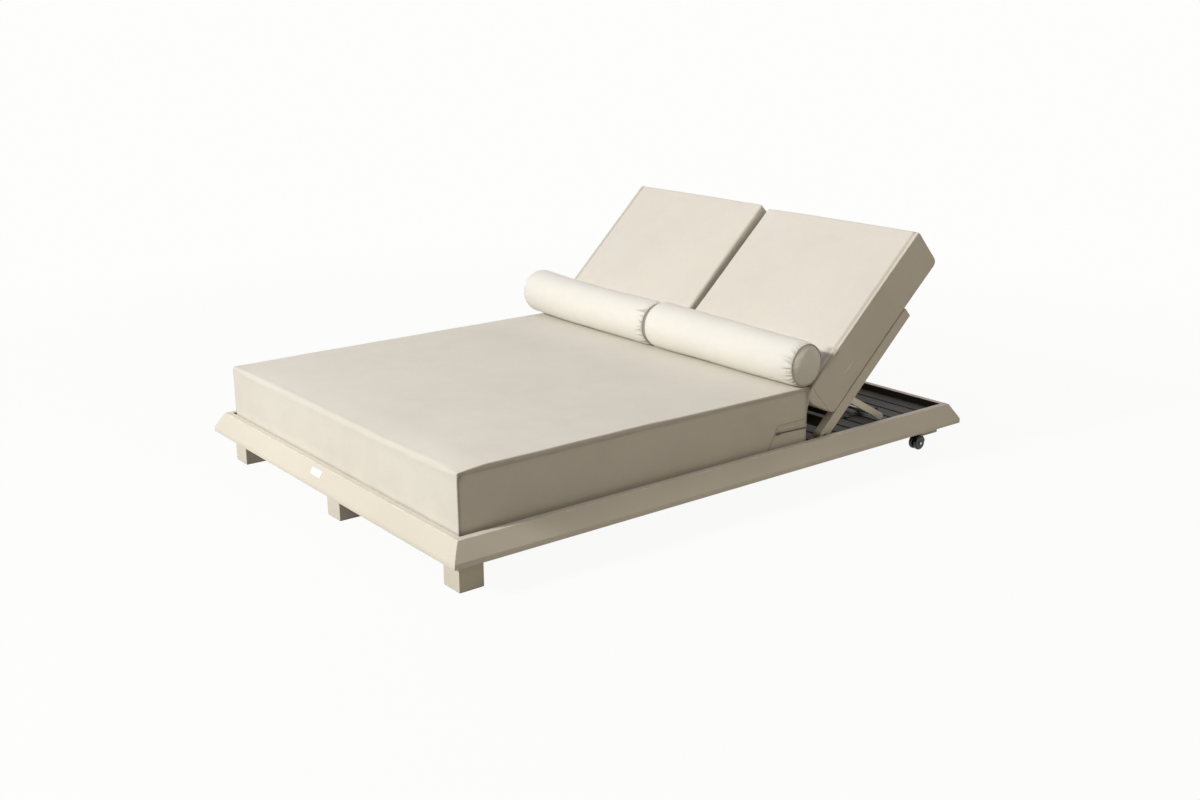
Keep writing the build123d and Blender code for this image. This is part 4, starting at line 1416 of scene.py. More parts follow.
class Upholstery:
    """What every sewn piece shares: stitches, welts and how a finished cover is declared."""

    SLOT = "cushion_fabric"
    STITCH = {"Spacing": 0.0062, "Length": 0.0044, "Gauge": 0.0011, "Seed": 11}

    def __init__(self, finishes: Finishes, patterns: Patterns, body: str) -> None:
        """Keeps the finishes and trees.

        Args:
            finishes: the lounger's materials.
            patterns: the Geometry Nodes trees.
            body: the body that the piece rides on.
        """
        self.finishes = finishes
        self.patterns = patterns
        self.body = body

    def stitch(self, name: str, paths: Sequence[np.ndarray], closed: bool = False) -> Piece:
        """Sews a row of stitches along each path.

        Args:
            name: the piece's name.
            paths: points of each row.
            closed: whether the paths close on themselves.

        Returns:
            The stitches as one piece.
        """
        inputs = {**self.STITCH, "Finish": self.finishes.thread}
        piece = self.patterns.run(name, path_mesh(name, paths, closed), self.patterns.stitches, inputs)
        return declare(smooth(piece), self.body)

    def welt(
        self,
        name: str,
        shape: Welt,
        path: np.ndarray,
        facing: np.ndarray,
        closed: bool = False,
        finish: Material | None = None,
    ) -> Piece:
        """Sews a raised strip along a path.

        Args:
            name: the piece's name.
            shape: the strip's section.
            path: points on the cover.
            facing: the cover's normals there.
            closed: whether the path closes on itself.
            finish: the strip's canvas, if it isn't the seams' own.

        Returns:
            The strip.
        """
        piece = paint(shape.sweep(name, path, facing, closed), finish or self.finishes.seam)
        lay_weave(piece.data, LEVEL)
        return declare(piece, self.body)

    def keep(self, piece: Piece, node: str, fill: float) -> None:
        """Declares a finished cover and the node that it stands for."""
        declare(piece, self.body, node)


class Cushion(Upholstery):
    """A foam block in a sewn cover, shaped in axes of its own."""

    PRESSURE = 4.0
    CAP = 0.0

    def sew(self, name: str, axes: Axes, block: SewnBlock) -> Piece:
        """Makes the cover and fills it.

        Args:
            name: the cover's name.
            axes: the cushion's axes.
            block: its shape in them.

        Returns:
            The cover, without its ripples.
        """
        self.axes, self.block = axes, block
        grid, faces = block.lattice()
        cover = new_piece(name, axes.to_row(block.rounded(grid)), faces)
        smooth(paint(cover, self.finishes.cushion))
        held = block.seam_points(grid) | (grid[:, 2] < -block.half[2] + NEAR)
        fill_by_cloth(cover, held, self.PRESSURE, self.CAP)
        return cover

    def close(self, cover: Piece) -> BVHTree:
        """Lays the weave on the settled cover and smooths it, by as much in view as in render.

        Args:
            cover: the cushion's cover.

        Returns:
            A search tree on its surface.
        """
        lay_weave(cover.data, self.axes)
        modifier = cover.modifiers.new("smooth_cover", "SUBSURF")
        modifier.levels = modifier.render_levels = 1
        return surface_tree(cover)

    def side_seam(self, name: str, shape: Welt, tree: BVHTree, sign: int, upright: float, count: int) -> Piece:
        """Sews the ridge round one side panel.

        Args:
            name: the seam's name.
            shape: its section.
            tree: search tree on the cover.
            sign: which end of x.
            upright: how much more the ridge faces up or down than along.
            count: points along it.

        Returns:
            The seam.
        """
        loop = self.axes.to_row(self.block.seam_loop(sign, count=count))
        path, _ = on_surface(tree, loop)
        outward = unit(self.axes.to_local(path) * np.array([0.0, 1.0, upright]))
        facing = unit(outward + np.array([sign, 0.0, 0.0])) @ self.axes.rows()
        return self.welt(name, shape, path, facing, closed=True)


@dataclass(frozen=True)
class Ripple:
    """Smooth noise on a cover: its depth, waves per metre, seed and how it is drawn out on each axis."""

    depth: float
    scale: float
    seed: float
    drawn: Place = (1.0, 1.0, 1.0)

    def at(self, points: np.ndarray) -> np.ndarray:
        """The noise's height at each point."""
        return self.depth * field(points * np.array(self.drawn), self.scale, self.seed)


class SeatCushion(Cushion):
    """The one wide seat cushion, with its zip patch at the rear of the right side."""

    NODE = "seat_cushion"
    PULL = "seat_zip_pull"
    CAP = 0.007
    PROUD = 0.004
    SKIN = 0.002
    RIGHT_LIFT = ((-1.02, 0.006), (-0.985, 0.010), (-0.93, 0.0145), (-0.35, 0.0145), (-0.15, 0.0105), (0.344, 0.0085))
    LEFT_LIFT = ((-1.02, 0.002), (-0.70, 0.005), (0.20, 0.0075), (0.344, 0.0065))
    FRONT_WAVES = Ripple(0.0020, 11.0, 3.0, (1.0, 1.0, 0.45))
    FRONT_CRINKLES = Ripple(0.0008, 36.0, 8.0)
    SIDE_WAVES = Ripple(0.0010, 9.0, 5.0, (1.0, 1.0, 0.5))
    TOP_WAVES = Ripple(0.0009, 5.5, 12.0)
    REAR_WAVES = Ripple(0.0020, 15.0, 21.0)
    REAR_FOLDS = Ripple(0.0052, 21.0, 44.0, (0.2, 0.2, 1.0))
    EDGE_WAVES = Ripple(0.0014, 13.0, 27.0)
    SEAM_WAVES = Ripple(0.0012, 13.0, 61.0, (0.0, 1.0, 0.0))
    SEAM_MARKS = Ripple(0.3, 24.0, 70.0)

    def build(self) -> Piece:
        """Makes the cushion and everything sewn to it.

        Returns:
            The cushion.
        """
        low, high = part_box(self.NODE)
        size = high - low
        half = (size.x / 2 - 0.0045, size.y / 2 - 0.001, size.z / 2 - 0.0035)
        centre = Vector(((low.x + high.x) / 2, (low.y + high.y) / 2, low.z + half[2]))
        block = SewnBlock(half, (0.017, 0.014, 0.014), (0.006, 0.008, 0.009), 0.0045, 0.0045, crown=0.002, draw=0.003)
        cover = self.sew("seat_cushion_cover", Axes(centre, LEVEL.across, LEVEL.along, LEVEL.out), block)
        self._crease(cover)
        self._seams(self.close(cover))
        self.keep(cover, self.NODE, fill=0.9)
        return cover

    def _crease(self, cover: Piece) -> None:
        """Adds the cover's soft ripples and keeps it within its room.

        Args:
            cover: the cushion's cover.
        """
        low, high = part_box(self.NODE)
        points = points_of(cover.data)
        facing = normals_of(cover.data)
        x, y, z = points.T
        front = step_up(-facing[:, 1], 0.4, 0.9)
        top = step_up(facing[:, 2], 0.5, 0.95)
        sides = step_up(np.abs(facing[:, 0]), 0.5, 0.95)
        rear = step_up(y, high.y - 0.09, high.y - 0.005)
        edge = 1 - step_up(y, low.y + 0.004, low.y + 0.07)
        sunk = 1 - step_up(z, low.z + 0.01, low.z + 0.09)
        ripple = front * (self.FRONT_WAVES.at(points) + (1 + 1.5 * sunk) * self.FRONT_CRINKLES.at(points))
        ripple += sides * (self.SIDE_WAVES.at(points) + rear * self.REAR_WAVES.at(points))
        ripple += top * (self.TOP_WAVES.at(points) + edge * self.EDGE_WAVES.at(points))
        left, right = (np.interp(y, *np.array(knots).T) for knots in (self.LEFT_LIFT, self.RIGHT_LIFT))
        lift = left + (right - left) * step_up(x, 0.25, high.x - 0.01)
        lift += sides * (1 - front) * self.SEAM_WAVES.at(points)
        points += facing * ripple[:, None]
        full = 0.0105 * np.exp(-(((z - high.z + 0.034) / 0.034) ** 2))
        points[:, 1] += rear * (full + 0.0030 + self.REAR_FOLDS.at(points))
        points[:, 2] += lift * (z - low.z) / (high.z - low.z)
        roof = high.z - 0.0008 + lift
        over = points[:, 2] - roof + self.SKIN
        pressed = roof - self.SKIN * np.exp(-over / self.SKIN)
        points[:, 2] = np.maximum(np.where(over > 0, pressed, points[:, 2]), low.z)
        points[:, 1] = np.clip(points[:, 1], low.y - 0.002, high.y + 0.0125)
        points[:, 0] = np.clip(points[:, 0], low.x - self.PROUD, high.x + self.PROUD)
        set_points(cover.data, points)
        self._mark(cover, points, sides)

    def _mark(self, cover: Piece, points: np.ndarray, sides: np.ndarray) -> None:
        """Paints shade into the colour: along the seams, at the pinched corners, and lightly along the front top edge,
        where it dims the edge's highlight.

        Args:
            cover: the cushion's cover.
            points: its vertices.
            sides: how much each of them belongs to a side panel.
        """
        _, hy, hz = self.block.half
        local = self.axes.to_local(points)
        upright, level = hy - np.abs(local[:, 1]), hz - np.abs(local[:, 2])
        # Painted shade along the seams and at the corners; the front top edge gets a light painted shade that tones
        # down its highlight.
        crease = np.maximum(0.85 * np.exp(-((upright / 0.007) ** 2)), 0.6 * np.exp(-((level / 0.005) ** 2)))
        corner_shade = np.exp(-((np.hypot(upright, level) / 0.016) ** 2))
        shade_marks = sides * (crease * (0.8 + self.SEAM_MARKS.at(points)) + 0.8 * corner_shade)
        edge_tone = np.exp(-(((hy + local[:, 1]) / 0.020) ** 2) - (level / 0.020) ** 2)
        mark_folds(cover.data, np.clip(shade_marks + 0.13 * edge_tone, 0.0, 1.0))

    def _seams(self, tree: BVHTree) -> None:
        """Sews the two side seams and the zip patch.

        Args:
            tree: search tree on the cushion's surface.
        """
        rows = []
        for side in (Side.RIGHT, Side.LEFT):
            self.side_seam(f"seat_{side.word}_seam", Welt(0.0034, 0.0007), tree, side.value, 6.0, 360)
            inner = self.axes.to_row(self.block.seam_loop(side.value, inset=0.007, count=360))
            rows.append(on_surface(tree, inner, 0.0002)[0])
        self.stitch("seat_seam_stitches", rows, closed=True)
        self._zip_patch(tree)

    def _zip_patch(self, tree: BVHTree) -> None:
        """The placket at the rear of the right side: felled edges, stitch rows, the zip and its pull.

        Args:
            tree: search tree on the cushion's surface.
        """
        _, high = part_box(self.NODE)
        pull_low, pull_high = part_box(self.PULL)
        side, rear, start = high.x + 0.01, high.y - 0.004, pull_low.y + 0.004
        zip_z = (pull_low.z + pull_high.z) / 2

        def line(points: Sequence[tuple[float, float]], count: int, lift: float) -> tuple[np.ndarray, np.ndarray]:
            """A path on the side from (y, z) pairs, and the surface's normals along it."""
            return on_surface(tree, resample(np.array([(side, y, z) for y, z in points]), count), lift)

        corner = [(0.2130, 0.2440), (0.2065, 0.2400), (0.2020, 0.2310)]
        outline = [(rear, 0.2445), *corner, (0.171, 0.173), (0.160, 0.1515)]
        flap = [(rear, 0.2200), (0.28, 0.2215), (start - 0.004, 0.2245)]
        self.welt("zip_patch_edge", Welt(0.0050, 0.0020), *line(outline, 80, 0.0))
        self.welt("zip_patch_flap", Welt(0.0100, 0.0024, 0.12), *line(flap, 80, 0.0))
        stitched = [
            *(([(rear, 0.2445 - shift), (0.2140, 0.2440 - shift)], 60, 0.0005) for shift in (0.0055, 0.0100)),
            ([(y + 0.0065, z - 0.001) for y, z in outline[3:]], 40, 0.0005),
            ([(rear, 0.2225), (0.28, 0.2240), (start, 0.2270)], 60, 0.0026),
        ]
        self.stitch("zip_patch_stitches", [line(*row)[0] for row in stitched])
        path, facing = line([(rear, zip_z - 0.003), (start, zip_z)], 70, 0.0)
        tape = Welt(0.0060, 0.0005).sweep("zip_tape", path, facing, False)
        declare(paint(tape, self.finishes.tape), self.body)
        self._zip_teeth(path, facing)
        self._zip_pull()

    def _zip_teeth(self, path: np.ndarray, facing: np.ndarray) -> None:
        """Two rows of small teeth that mesh along the zip.

        Args:
            path: the zip's middle line.
            facing: the surface's normals along it.
        """
        pitch, apart = 0.0021, 0.0009
        length = float(np.linalg.norm(np.diff(path, axis=0), axis=1).sum())
        line = resample(path, int(length / pitch))
        lift = float(np.mean(facing[:, 0])) * apart
        places = [(p[0] + lift, p[1], p[2] + (apart if i % 2 else -apart)) for i, p in enumerate(line)]
        tooth = new_piece("zip_tooth", *box_of((0.0007, 0.0008, 0.0008)))
        teeth = self.patterns.copy("zip_teeth", tooth, places, 0.0, 3, self.finishes.bronze)
        declare(teeth, self.body)

    def _zip_pull(self) -> None:
        """The slider's body and its tongue, in place of the solid pull."""
        low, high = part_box(self.PULL)
        deep, length, width = high - low
        middle, level = (low.y + high.y) / 2, (low.z + high.z) / 2
        outline, count = [], 40
        for k in range(count):
            turn = 2 * math.pi * k / count
            cy = math.copysign(length / 2 - width / 2, math.cos(turn)) if abs(math.cos(turn)) > NEAR else 0.0
            outline.append((cy + width / 2 * math.cos(turn), width / 2 * math.sin(turn)))
        layers = [(0.0, 0.86), (0.18, 1.0), (0.55, 1.0), (0.8, 0.9), (1.0, 0.62)]
        points = [
            (low.x + depth * deep, middle + a * share, level + b * share) for depth, share in layers for a, b in outline
        ]
        faces = ring_faces(len(layers), count)
        faces += [tuple(range(count)), tuple(range((len(layers) - 1) * count, len(layers) * count))]
        pull = new_piece("seat_zip_pull_finished", points, faces)
        mend_normals(pull.data)
        declare(smooth(paint(pull, self.finishes.bronze)), self.body, self.PULL)


def box_of(half: Place) -> tuple[list[Place], list[Face]]:
    """A small block with cut corners, for a tooth or a rivet.

    Args:
        half: its half sizes.

    Returns:
        Its vertices and faces.
    """
    points = []
    for level in (-1, 1):
        for a, b in ((1, 0.5), (0.5, 1), (-0.5, 1), (-1, 0.5), (-1, -0.5), (-0.5, -1), (0.5, -1), (1, -0.5)):
            points.append((level * half[0], a * half[1], b * half[2]))
    faces: list[Face] = [tuple(reversed(range(8))), tuple(range(8, 16))]
    faces += [(k, (k + 1) % 8, 8 + (k + 1) % 8, 8 + k) for k in range(8)]
    return points, faces


@dataclass(frozen=True)
class Recline:
    """Where one back hinges and how it leans at rest."""

    side: Side
    hinge_y: float
    hinge_z: float
    angle: float

    def axes(self) -> Axes:
        """The back's axes: across to the right, along up the back, out towards the cushion."""
        turn = self.angle
        along = Vector((0, math.cos(turn), math.sin(turn)))
        out = Vector((0, -math.sin(turn), math.cos(turn)))
        return Axes(Vector((0, self.hinge_y, self.hinge_z)), Vector((1, 0, 0)), along, out)


def recline_of(frame: dict, side: Side) -> Recline:
    """Reads one back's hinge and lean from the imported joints.

    Args:
        side: the back's side.

    Returns:
        The hinge and lean.
    """
    joints = {joint["name"]: joint for joint in frame["joints"]}
    hinge = joints[f"{side.word}_recline"]["pos_m"]
    slide = joints[f"{side.word}_pad_slide"]["axis"]
    return Recline(side, hinge[1], hinge[2], math.atan2(slide[2], slide[1]))


class BackCushion(Cushion):
    """One loose back cushion, with a felled seam along its outer edge."""

    CAP = 0.004
    HEAD_REACH = 0.008
    INNER_TRIM = {Side.LEFT: 0.009, Side.RIGHT: 0.0}
    HEAD_RISE = {Side.LEFT: 0.0015, Side.RIGHT: 0.0045}
    SEED = {Side.LEFT: 60.0, Side.RIGHT: 30.0}
    TIGHT_SEAM, SOFT_SEAM = 0.008, 0.012
    FOOT_SAG = 0.038
    FOOT_SHAPE = (
        (0.0, 0.0),
        (0.11, 0.0),
        (0.36, 0.40),
        (0.63, 0.85),
        (0.77, 1.0),
        (0.88, 0.86),
        (0.94, 0.68),
        (1.0, 0.3),
    )
    FOLDED_SHARE = 0.94

    def build(self, recline: Recline, node_points: np.ndarray) -> Piece:
        """Makes the cushion and its seams.

        Args:
            recline: its back's hinge and lean.
            node_points: vertices of the solid that it stands for.

        Returns:
            The cushion.
        """
        side, word = recline.side, recline.side.word
        flat = recline.axes()
        solid = flat.to_local(node_points)
        low, high = solid.min(0), solid.max(0)
        high[1] += self.HEAD_REACH
        low[0] -= 0.003
        high[0] -= self.INNER_TRIM[side]
        half = ((high[0] - low[0]) / 2 - 0.002, (high[1] - low[1]) / 2 - 0.0005, 0.0795)
        centre = Vector(((low[0] + high[0]) / 2, (low[1] + high[1]) / 2, low[2] + half[2]))
        axes = Axes(Vector(flat.to_row(np.array(centre))), flat.across, flat.along, flat.out)
        seams = (self.TIGHT_SEAM, self.SOFT_SEAM)[:: -side.value]
        rolls, corners = (0.026, 0.010, 0.026), (0.022, 0.010, 0.022)
        block = SewnBlock(half, rolls, corners, *seams, crown=0.002, draw=0.003, step=0.014, taper=0.08)
        cover = self.sew(f"{word}_back_cushion_cover", axes, block)
        self._settle(cover, side)
        sewn = self._seams(self.close(cover), side)
        self.keep(cover, f"{word}_back_cushion", fill=0.85)
        head = self.axes.to_row(np.array([[0.0, half[1], -half[2]]]))[0]
        for piece in (cover, *sewn):
            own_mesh(piece)
        return cover

    def _settle(self, cover: Piece, side: Side) -> None:
        """Lets the hinge end sag towards the seat, adds soft ripples, keeps the underside flat and paints the bolster's
        shadow onto the face near the outer edge.

        Args:
            cover: the cushion's cover.
            side: the back's side.
        """
        seed = self.SEED[side]
        local = self.axes.to_local(points_of(cover.data))
        turned = normals_of(cover.data) @ self.axes.rows().T
        hx, hy, hz = self.block.half
        upper = step_up(local[:, 2], -hz, hz)
        middle = 1 - 0.8 * np.clip(np.abs(local[:, 0]) / hx, 0.0, 1.0) ** 4
        local[:, 2] += self.HEAD_RISE[side] * np.clip((local[:, 1] / hy + 0.6) / 1.6, 0.0, 1.0) * middle * upper
        ripple = Ripple(0.0011, 7.0, seed).at(local) + Ripple(0.0005, 25.0, seed + 4.0).at(local)
        free = step_up(turned[:, 2], -0.6, 0.2)
        local += turned * (ripple * free)[:, None]
        height = np.clip((local[:, 2] + hz) / (2 * hz), 0.0, 1.0)
        sag = self.FOOT_SAG * np.interp(height, *np.array(self.FOOT_SHAPE).T)
        local[:, 1] -= sag * step_up(-local[:, 1], hy - 0.15, hy)
        local[:, 2] = np.maximum(local[:, 2], -hz)
        set_points(cover.data, self.axes.to_row(local))
        # Painted shadow of the bolster: the face near the outer edge, below where the bolster's shadow ends, is
        # darkened.
        outer = side.value * local[:, 0]
        bolster_shadow = step_up(outer, hx - 0.06, hx - 0.03) * (1 - step_up(local[:, 1], 0.158 - hy, 0.164 - hy))
        on_face = step_up(local[:, 2], hz - 0.030, hz - 0.008) * (1 - step_up(outer, hx - 0.004, hx))
        mark_folds(cover.data, 0.72 * bolster_shadow * on_face)

    def _seams(self, tree: BVHTree, side: Side) -> list[Piece]:
        """Sews the outer side seam, the flat felled strip by it and the dash of the zip.

        Args:
            tree: search tree on the cushion's surface.
            side: the back's side.

        Returns:
            The sewn pieces.
        """
        hx, hy, hz = self.block.half

        def line(
            x: float, span: tuple[float, float], z: float, count: int, lift: float
        ) -> tuple[np.ndarray, np.ndarray]:
            """A path along the cushion at one distance out, and the surface's normals along it."""
            path = np.stack([np.full(count, side.value * x), np.linspace(*span, count), np.full(count, z)], 1)
            return on_surface(tree, self.axes.to_row(path), lift)

        name, span = f"{side.word}_back", (-hy + 0.004, hy - 0.006)
        felled, lip = Welt(0.0120, 0.0010, shoulders=0.12), Welt(0.0045, 0.0026)
        rows = [line(hx - inset, span, hz, 60, 0.0012)[0] for inset in (0.0135, 0.0215)]
        dash = line(hx + 0.01, (-0.215, -0.160), -0.012, 20, 0.0)
        return [
            self.side_seam(f"{name}_side_seam", Welt(0.003, 0.0006), tree, side.value, 4.0, 220),
            self.welt(f"{name}_felled_seam", felled, *line(hx - 0.0175, span, hz, 60, 0.0)),
            self.stitch(f"{name}_seam_stitches", rows),
            self.welt(f"{name}_zip_lip", lip, *dash, finish=self.finishes.bolster),
        ]


@dataclass(frozen=True)
class Crease:
    """One gather that runs from a bolster's piping up its barrel."""

    angle: float
    length: float
    depth: float
    width: float
    drift: float


@dataclass(frozen=True)
class RollEnd:
    """How a bolster closes at one end: gathered into a piped disc, or drawn in to a soft round."""

    neck: float
    drop: float
    dome: float
    past: float = 0.0
    gathered: bool = True

    def narrowing(self, share: float) -> float:
        """How much smaller the barrel is at one place along its neck.

        Args:
            share: 0 where the neck starts, 1 at the rim.

        Returns:
            The difference in radius.
        """
        if self.gathered:
            return (self.drop + 0.0016) * (1 - (1 - share**3.2) ** 0.75)
        return self.drop * (1 - math.sqrt(1 - min(share, 0.998) ** 2))


@dataclass(frozen=True)
class RollShape:
    """What sets one bolster apart: how much fuller each end is, how its outer end lifts, and its ends."""

    fuller_left: float
    fuller_right: float
    lift: float
    left: RollEnd
    right: RollEnd


ROLLS = {
    Side.LEFT: RollShape(
        fuller_left=0.0052,
        fuller_right=0.0036,
        lift=0.009,
        left=RollEnd(neck=0.026, drop=0.014, dome=0.008, past=0.016, gathered=False),
        right=RollEnd(neck=0.050, drop=0.0085, dome=0.004, past=-0.002),
    ),
    Side.RIGHT: RollShape(
        fuller_left=0.0090,
        fuller_right=0.0008,
        lift=0.0015,
        left=RollEnd(neck=0.026, drop=0.011, dome=0.008, past=0.005, gathered=False),
        right=RollEnd(neck=0.050, drop=0.0085, dome=0.0140, past=0.0045),
    ),
}


class Bolster(Upholstery):
    """One filled roll, gathered into a piped disc at its right end and softly rounded at its left."""

    SLOT = "bolster_fabric"
    PIPE = 0.0019
    AROUND = 400
    GATHERS = 44
    # Gather depth at which the painted shade is fullest.
    FULL_FOLD = 0.0042
    PUFF = 0.0026
    BACKWARD_SHARE = 0.391

    def build(self, side: Side, seed: int) -> Piece:
        """Makes the roll, its discs and its pipings.

        Args:
            side: which half of the lounger it lies on.
            seed: fixes its gathers and ripples.

        Returns:
            The roll.
        """
        node = f"{side.word}_bolster"
        low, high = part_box(node)
        self.radius = (high.z - low.z) / 2
        self.centre = (low + high) / 2
        self.reach = (high.x - low.x) / 2
        self.shape = ROLLS[side]
        self.ends = {-1: self.shape.left, 1: self.shape.right}
        self.rims = {sign: self.reach + end.past - end.dome for sign, end in self.ends.items()}
        roll = self._roll(f"{node}_cover", np.random.default_rng(seed), seed)
        smooth(paint(roll, self.finishes.bolster))
        self.keep(roll, node, fill=0.8)
        pipe = Welt(2 * self.PIPE, 1.5 * self.PIPE, shoulders=0.5, sunk=self.PIPE * 0.8)
        for end in (Side.RIGHT, Side.LEFT):
            if self.ends[end.value].gathered:
                ring, facing = self._rim(end.value)
                name = f"{node}_{end.word}_piping"
                self.welt(name, pipe, ring, facing, closed=True, finish=self.finishes.piping)
        return roll

    def _rim(self, sign: int, count: int = 120) -> tuple[np.ndarray, np.ndarray]:
        """The path of the piping round one disc.

        Args:
            sign: which end of the roll.
            count: points along it.

        Returns:
            The path and the way that the piping faces along it.
        """
        turns = np.linspace(0, 2 * math.pi, count + 1)[:-1]
        x = sign * self.rims[sign]
        disc = self._disc(sign) + self._fuller(x)
        ring = np.stack([np.full(count, x), disc * np.cos(turns), disc * np.sin(turns)], 1)
        out = np.stack([np.full(count, sign * 0.25), np.cos(turns), np.sin(turns)], 1)
        return self._lay(ring + np.array(self.centre)), unit(out)

    def _roll(self, name: str, rng: np.random.Generator, seed: int) -> Piece:
        """The closed barrel with its two discs.

        Args:
            name: the piece's name.
            rng: fixed random numbers.
            seed: shifts the ripples.

        Returns:
            The piece.
        """
        turns = np.linspace(0, 2 * math.pi, self.AROUND + 1)[:-1]
        creases = {sign: self._creases(rng) for sign in (1, -1)}
        rings, shade_marks = [], []
        for x, base, kind in self._stations():
            sign = 1 if x > 0 else -1
            values = np.full(self.AROUND, base + self._fuller(x))
            depth = self.rims[sign] - abs(x)
            sunk = np.zeros(self.AROUND)
            if kind == "barrel":
                strength = 1.0 if self.ends[sign].gathered else 0.15
                sunk, puff = self._folds(turns, depth, creases[sign])
                sunk = sunk * strength
                values = values - sunk + puff * strength
            else:
                pull = 0.0009 * (base / self._disc(sign)) ** 4
                values = values + pull * np.sin(turns * 23 + seed)
            rings.append(np.stack([np.full(self.AROUND, x), values * np.cos(turns), values * np.sin(turns)], 1))
            # Painted shade in the gathers' valleys, fullest where a gather is deepest.
            shade_marks.append(0.8 * np.clip(sunk / self.FULL_FOLD, 0.0, 1.0))
        grid = np.concatenate(rings)
        faces = ring_faces(len(rings), self.AROUND)
        left_pole, right_pole = len(grid), len(grid) + 1
        last = (len(rings) - 1) * self.AROUND
        for k in range(self.AROUND):
            m = (k + 1) % self.AROUND
            faces.append((left_pole, m, k))
            faces.append((right_pole, last + k, last + m))
        poles = np.array([(sign * (self.reach + self.ends[sign].past), 0.0, 0.0) for sign in (-1, 1)])
        points = self._lay(np.concatenate([grid, poles]) + np.array(self.centre))
        roll = new_piece(name, points, faces)
        mend_normals(roll.data)
        mark_folds(roll.data, np.concatenate([*shade_marks, [0.0, 0.0]]))
        self._relax(roll, seed)
        self._lay_round(roll)
        return roll

    def _disc(self, sign: int) -> float:
        """The radius of the disc at one end, before the roll's fullness there."""
        return self.radius - self.ends[sign].drop

    def _fuller(self, x: float | np.ndarray) -> float | np.ndarray:
        """How much fuller than the solid the roll is, at places along it from its middle."""
        share = (np.clip(x / self.reach, -1.0, 1.0) + 1) / 2
        return self.shape.fuller_left + (self.shape.fuller_right - self.shape.fuller_left) * share

    def _lay(self, points: np.ndarray) -> np.ndarray:
        """Lets the fuller roll rest on the seat and the back, and lifts its outer end off the seat a little.

        Args:
            points: places on the straight roll.

        Returns:
            The bent places.
        """
        outer = math.copysign(1.0, self.centre.x)
        across = points[:, 0] - self.centre.x
        share = np.clip(across * outer / self.reach, -1.0, 1.0)
        fuller = self._fuller(across)
        bent = points.copy()
        bent[:, 1] -= self.BACKWARD_SHARE * fuller
        bent[:, 2] += fuller + self.shape.lift * np.maximum(share, 0.0) ** 2
        return bent

    def _stations(self) -> list[tuple[float, float, str]]:
        """Places along the roll, with the radius there and whether it is barrel or disc.

        Returns:
            The places from the left pole to the right one.
        """
        barrel = self.radius - 0.0003
        halves = []
        for sign, end in self.ends.items():
            rim, disc = self.rims[sign], self._disc(sign)
            straight = rim - end.neck
            half = [(share * straight, barrel, "barrel") for share in np.linspace(0.0, 1.0, 32)]
            for share in np.linspace(0.0, 1.0, 30)[1:]:
                half.append((straight + share * end.neck, barrel - end.narrowing(share), "barrel"))
            for share in (0.985, 0.95, 0.89, 0.82, 0.74, 0.66, 0.57, 0.48, 0.39, 0.3, 0.2, 0.1):
                half.append((rim + end.dome * (1 - share**2.4) * 0.98, disc * share, "disc"))
            halves.append([(sign * x, radius, kind) for x, radius, kind in half])
        return halves[0][:0:-1] + halves[1]

    @staticmethod
    def _creases(rng: np.random.Generator) -> list[Crease]:
        """The gathers round one end, a few of them long and deep.

        Args:
            rng: fixed random numbers.

        Returns:
            The gathers.
        """
        creases = []
        for k in range(Bolster.GATHERS):
            long = rng.random() < 0.3
            creases.append(
                Crease(
                    angle=(k + rng.uniform(-0.4, 0.4)) * 2 * math.pi / Bolster.GATHERS,
                    length=rng.uniform(0.020, 0.034) if long else rng.uniform(0.009, 0.018),
                    depth=rng.uniform(0.0032, 0.0052) if long else rng.uniform(0.0020, 0.0040),
                    width=rng.uniform(0.0018, 0.0031),
                    drift=rng.uniform(-0.12, 0.12),
                )
            )
        return creases

    def _folds(self, turns: np.ndarray, depth: float, creases: list[Crease]) -> tuple[np.ndarray, float]:
        """How far the gathers push the barrel in, and puff it out between them, at one place along it.

        Args:
            turns: angles round the roll.
            depth: distance from the piping.
            creases: the gathers of that end.

        Returns:
            How far it is pushed in at each angle, and how far it is puffed out.
        """
        total = np.zeros(len(turns))
        depth = max(depth, 0.0)
        for crease in creases:
            fade = math.exp(-((depth / crease.length) ** 1.7))
            if fade < 0.02:
                continue
            where = crease.angle + crease.drift * depth / crease.length
            apart = (turns - where + math.pi) % (2 * math.pi) - math.pi
            distance = np.abs(apart) * self.radius
            spread = crease.width * (1 + 0.5 * depth / crease.length)
            total += crease.depth * fade * np.exp(-((distance / spread) ** 2))
        puff = math.exp(-depth / 0.022) * min(1.0, depth / 0.004)
        return total, self.PUFF * puff

    def _relax(self, roll: Piece, seed: int) -> None:
        """Lets the roll settle: slight waves along it, and a flat where it lies on the seat.

        Args:
            roll: the closed roll.
            seed: shifts the waves.
        """
        points = points_of(roll.data)
        offset = points - np.array(self.centre)
        waves = 0.0020 * field(points * np.array([1.0, 1.5, 1.5]), 6.5, seed * 1.3)
        waves += 0.0007 * field(points * np.array([1.0, 0.6, 0.6]), 24.0, seed * 2.1)
        rim = np.where(offset[:, 0] > 0, self.rims[1], self.rims[-1])
        inner = step_up(rim - np.abs(offset[:, 0]), 0.0, 0.05)
        points += unit(offset * np.array([0.0, 1.0, 1.0])) * (waves * (0.2 + 0.8 * inner))[:, None]
        points[:, 0] += 0.0011 * step_up(np.abs(offset[:, 0]) - rim, 0.0, 0.004) * field(points, 42.0, seed * 3.3)
        points[:, 2] = np.maximum(points[:, 2], self.centre.z - self.radius)
        set_points(roll.data, points)

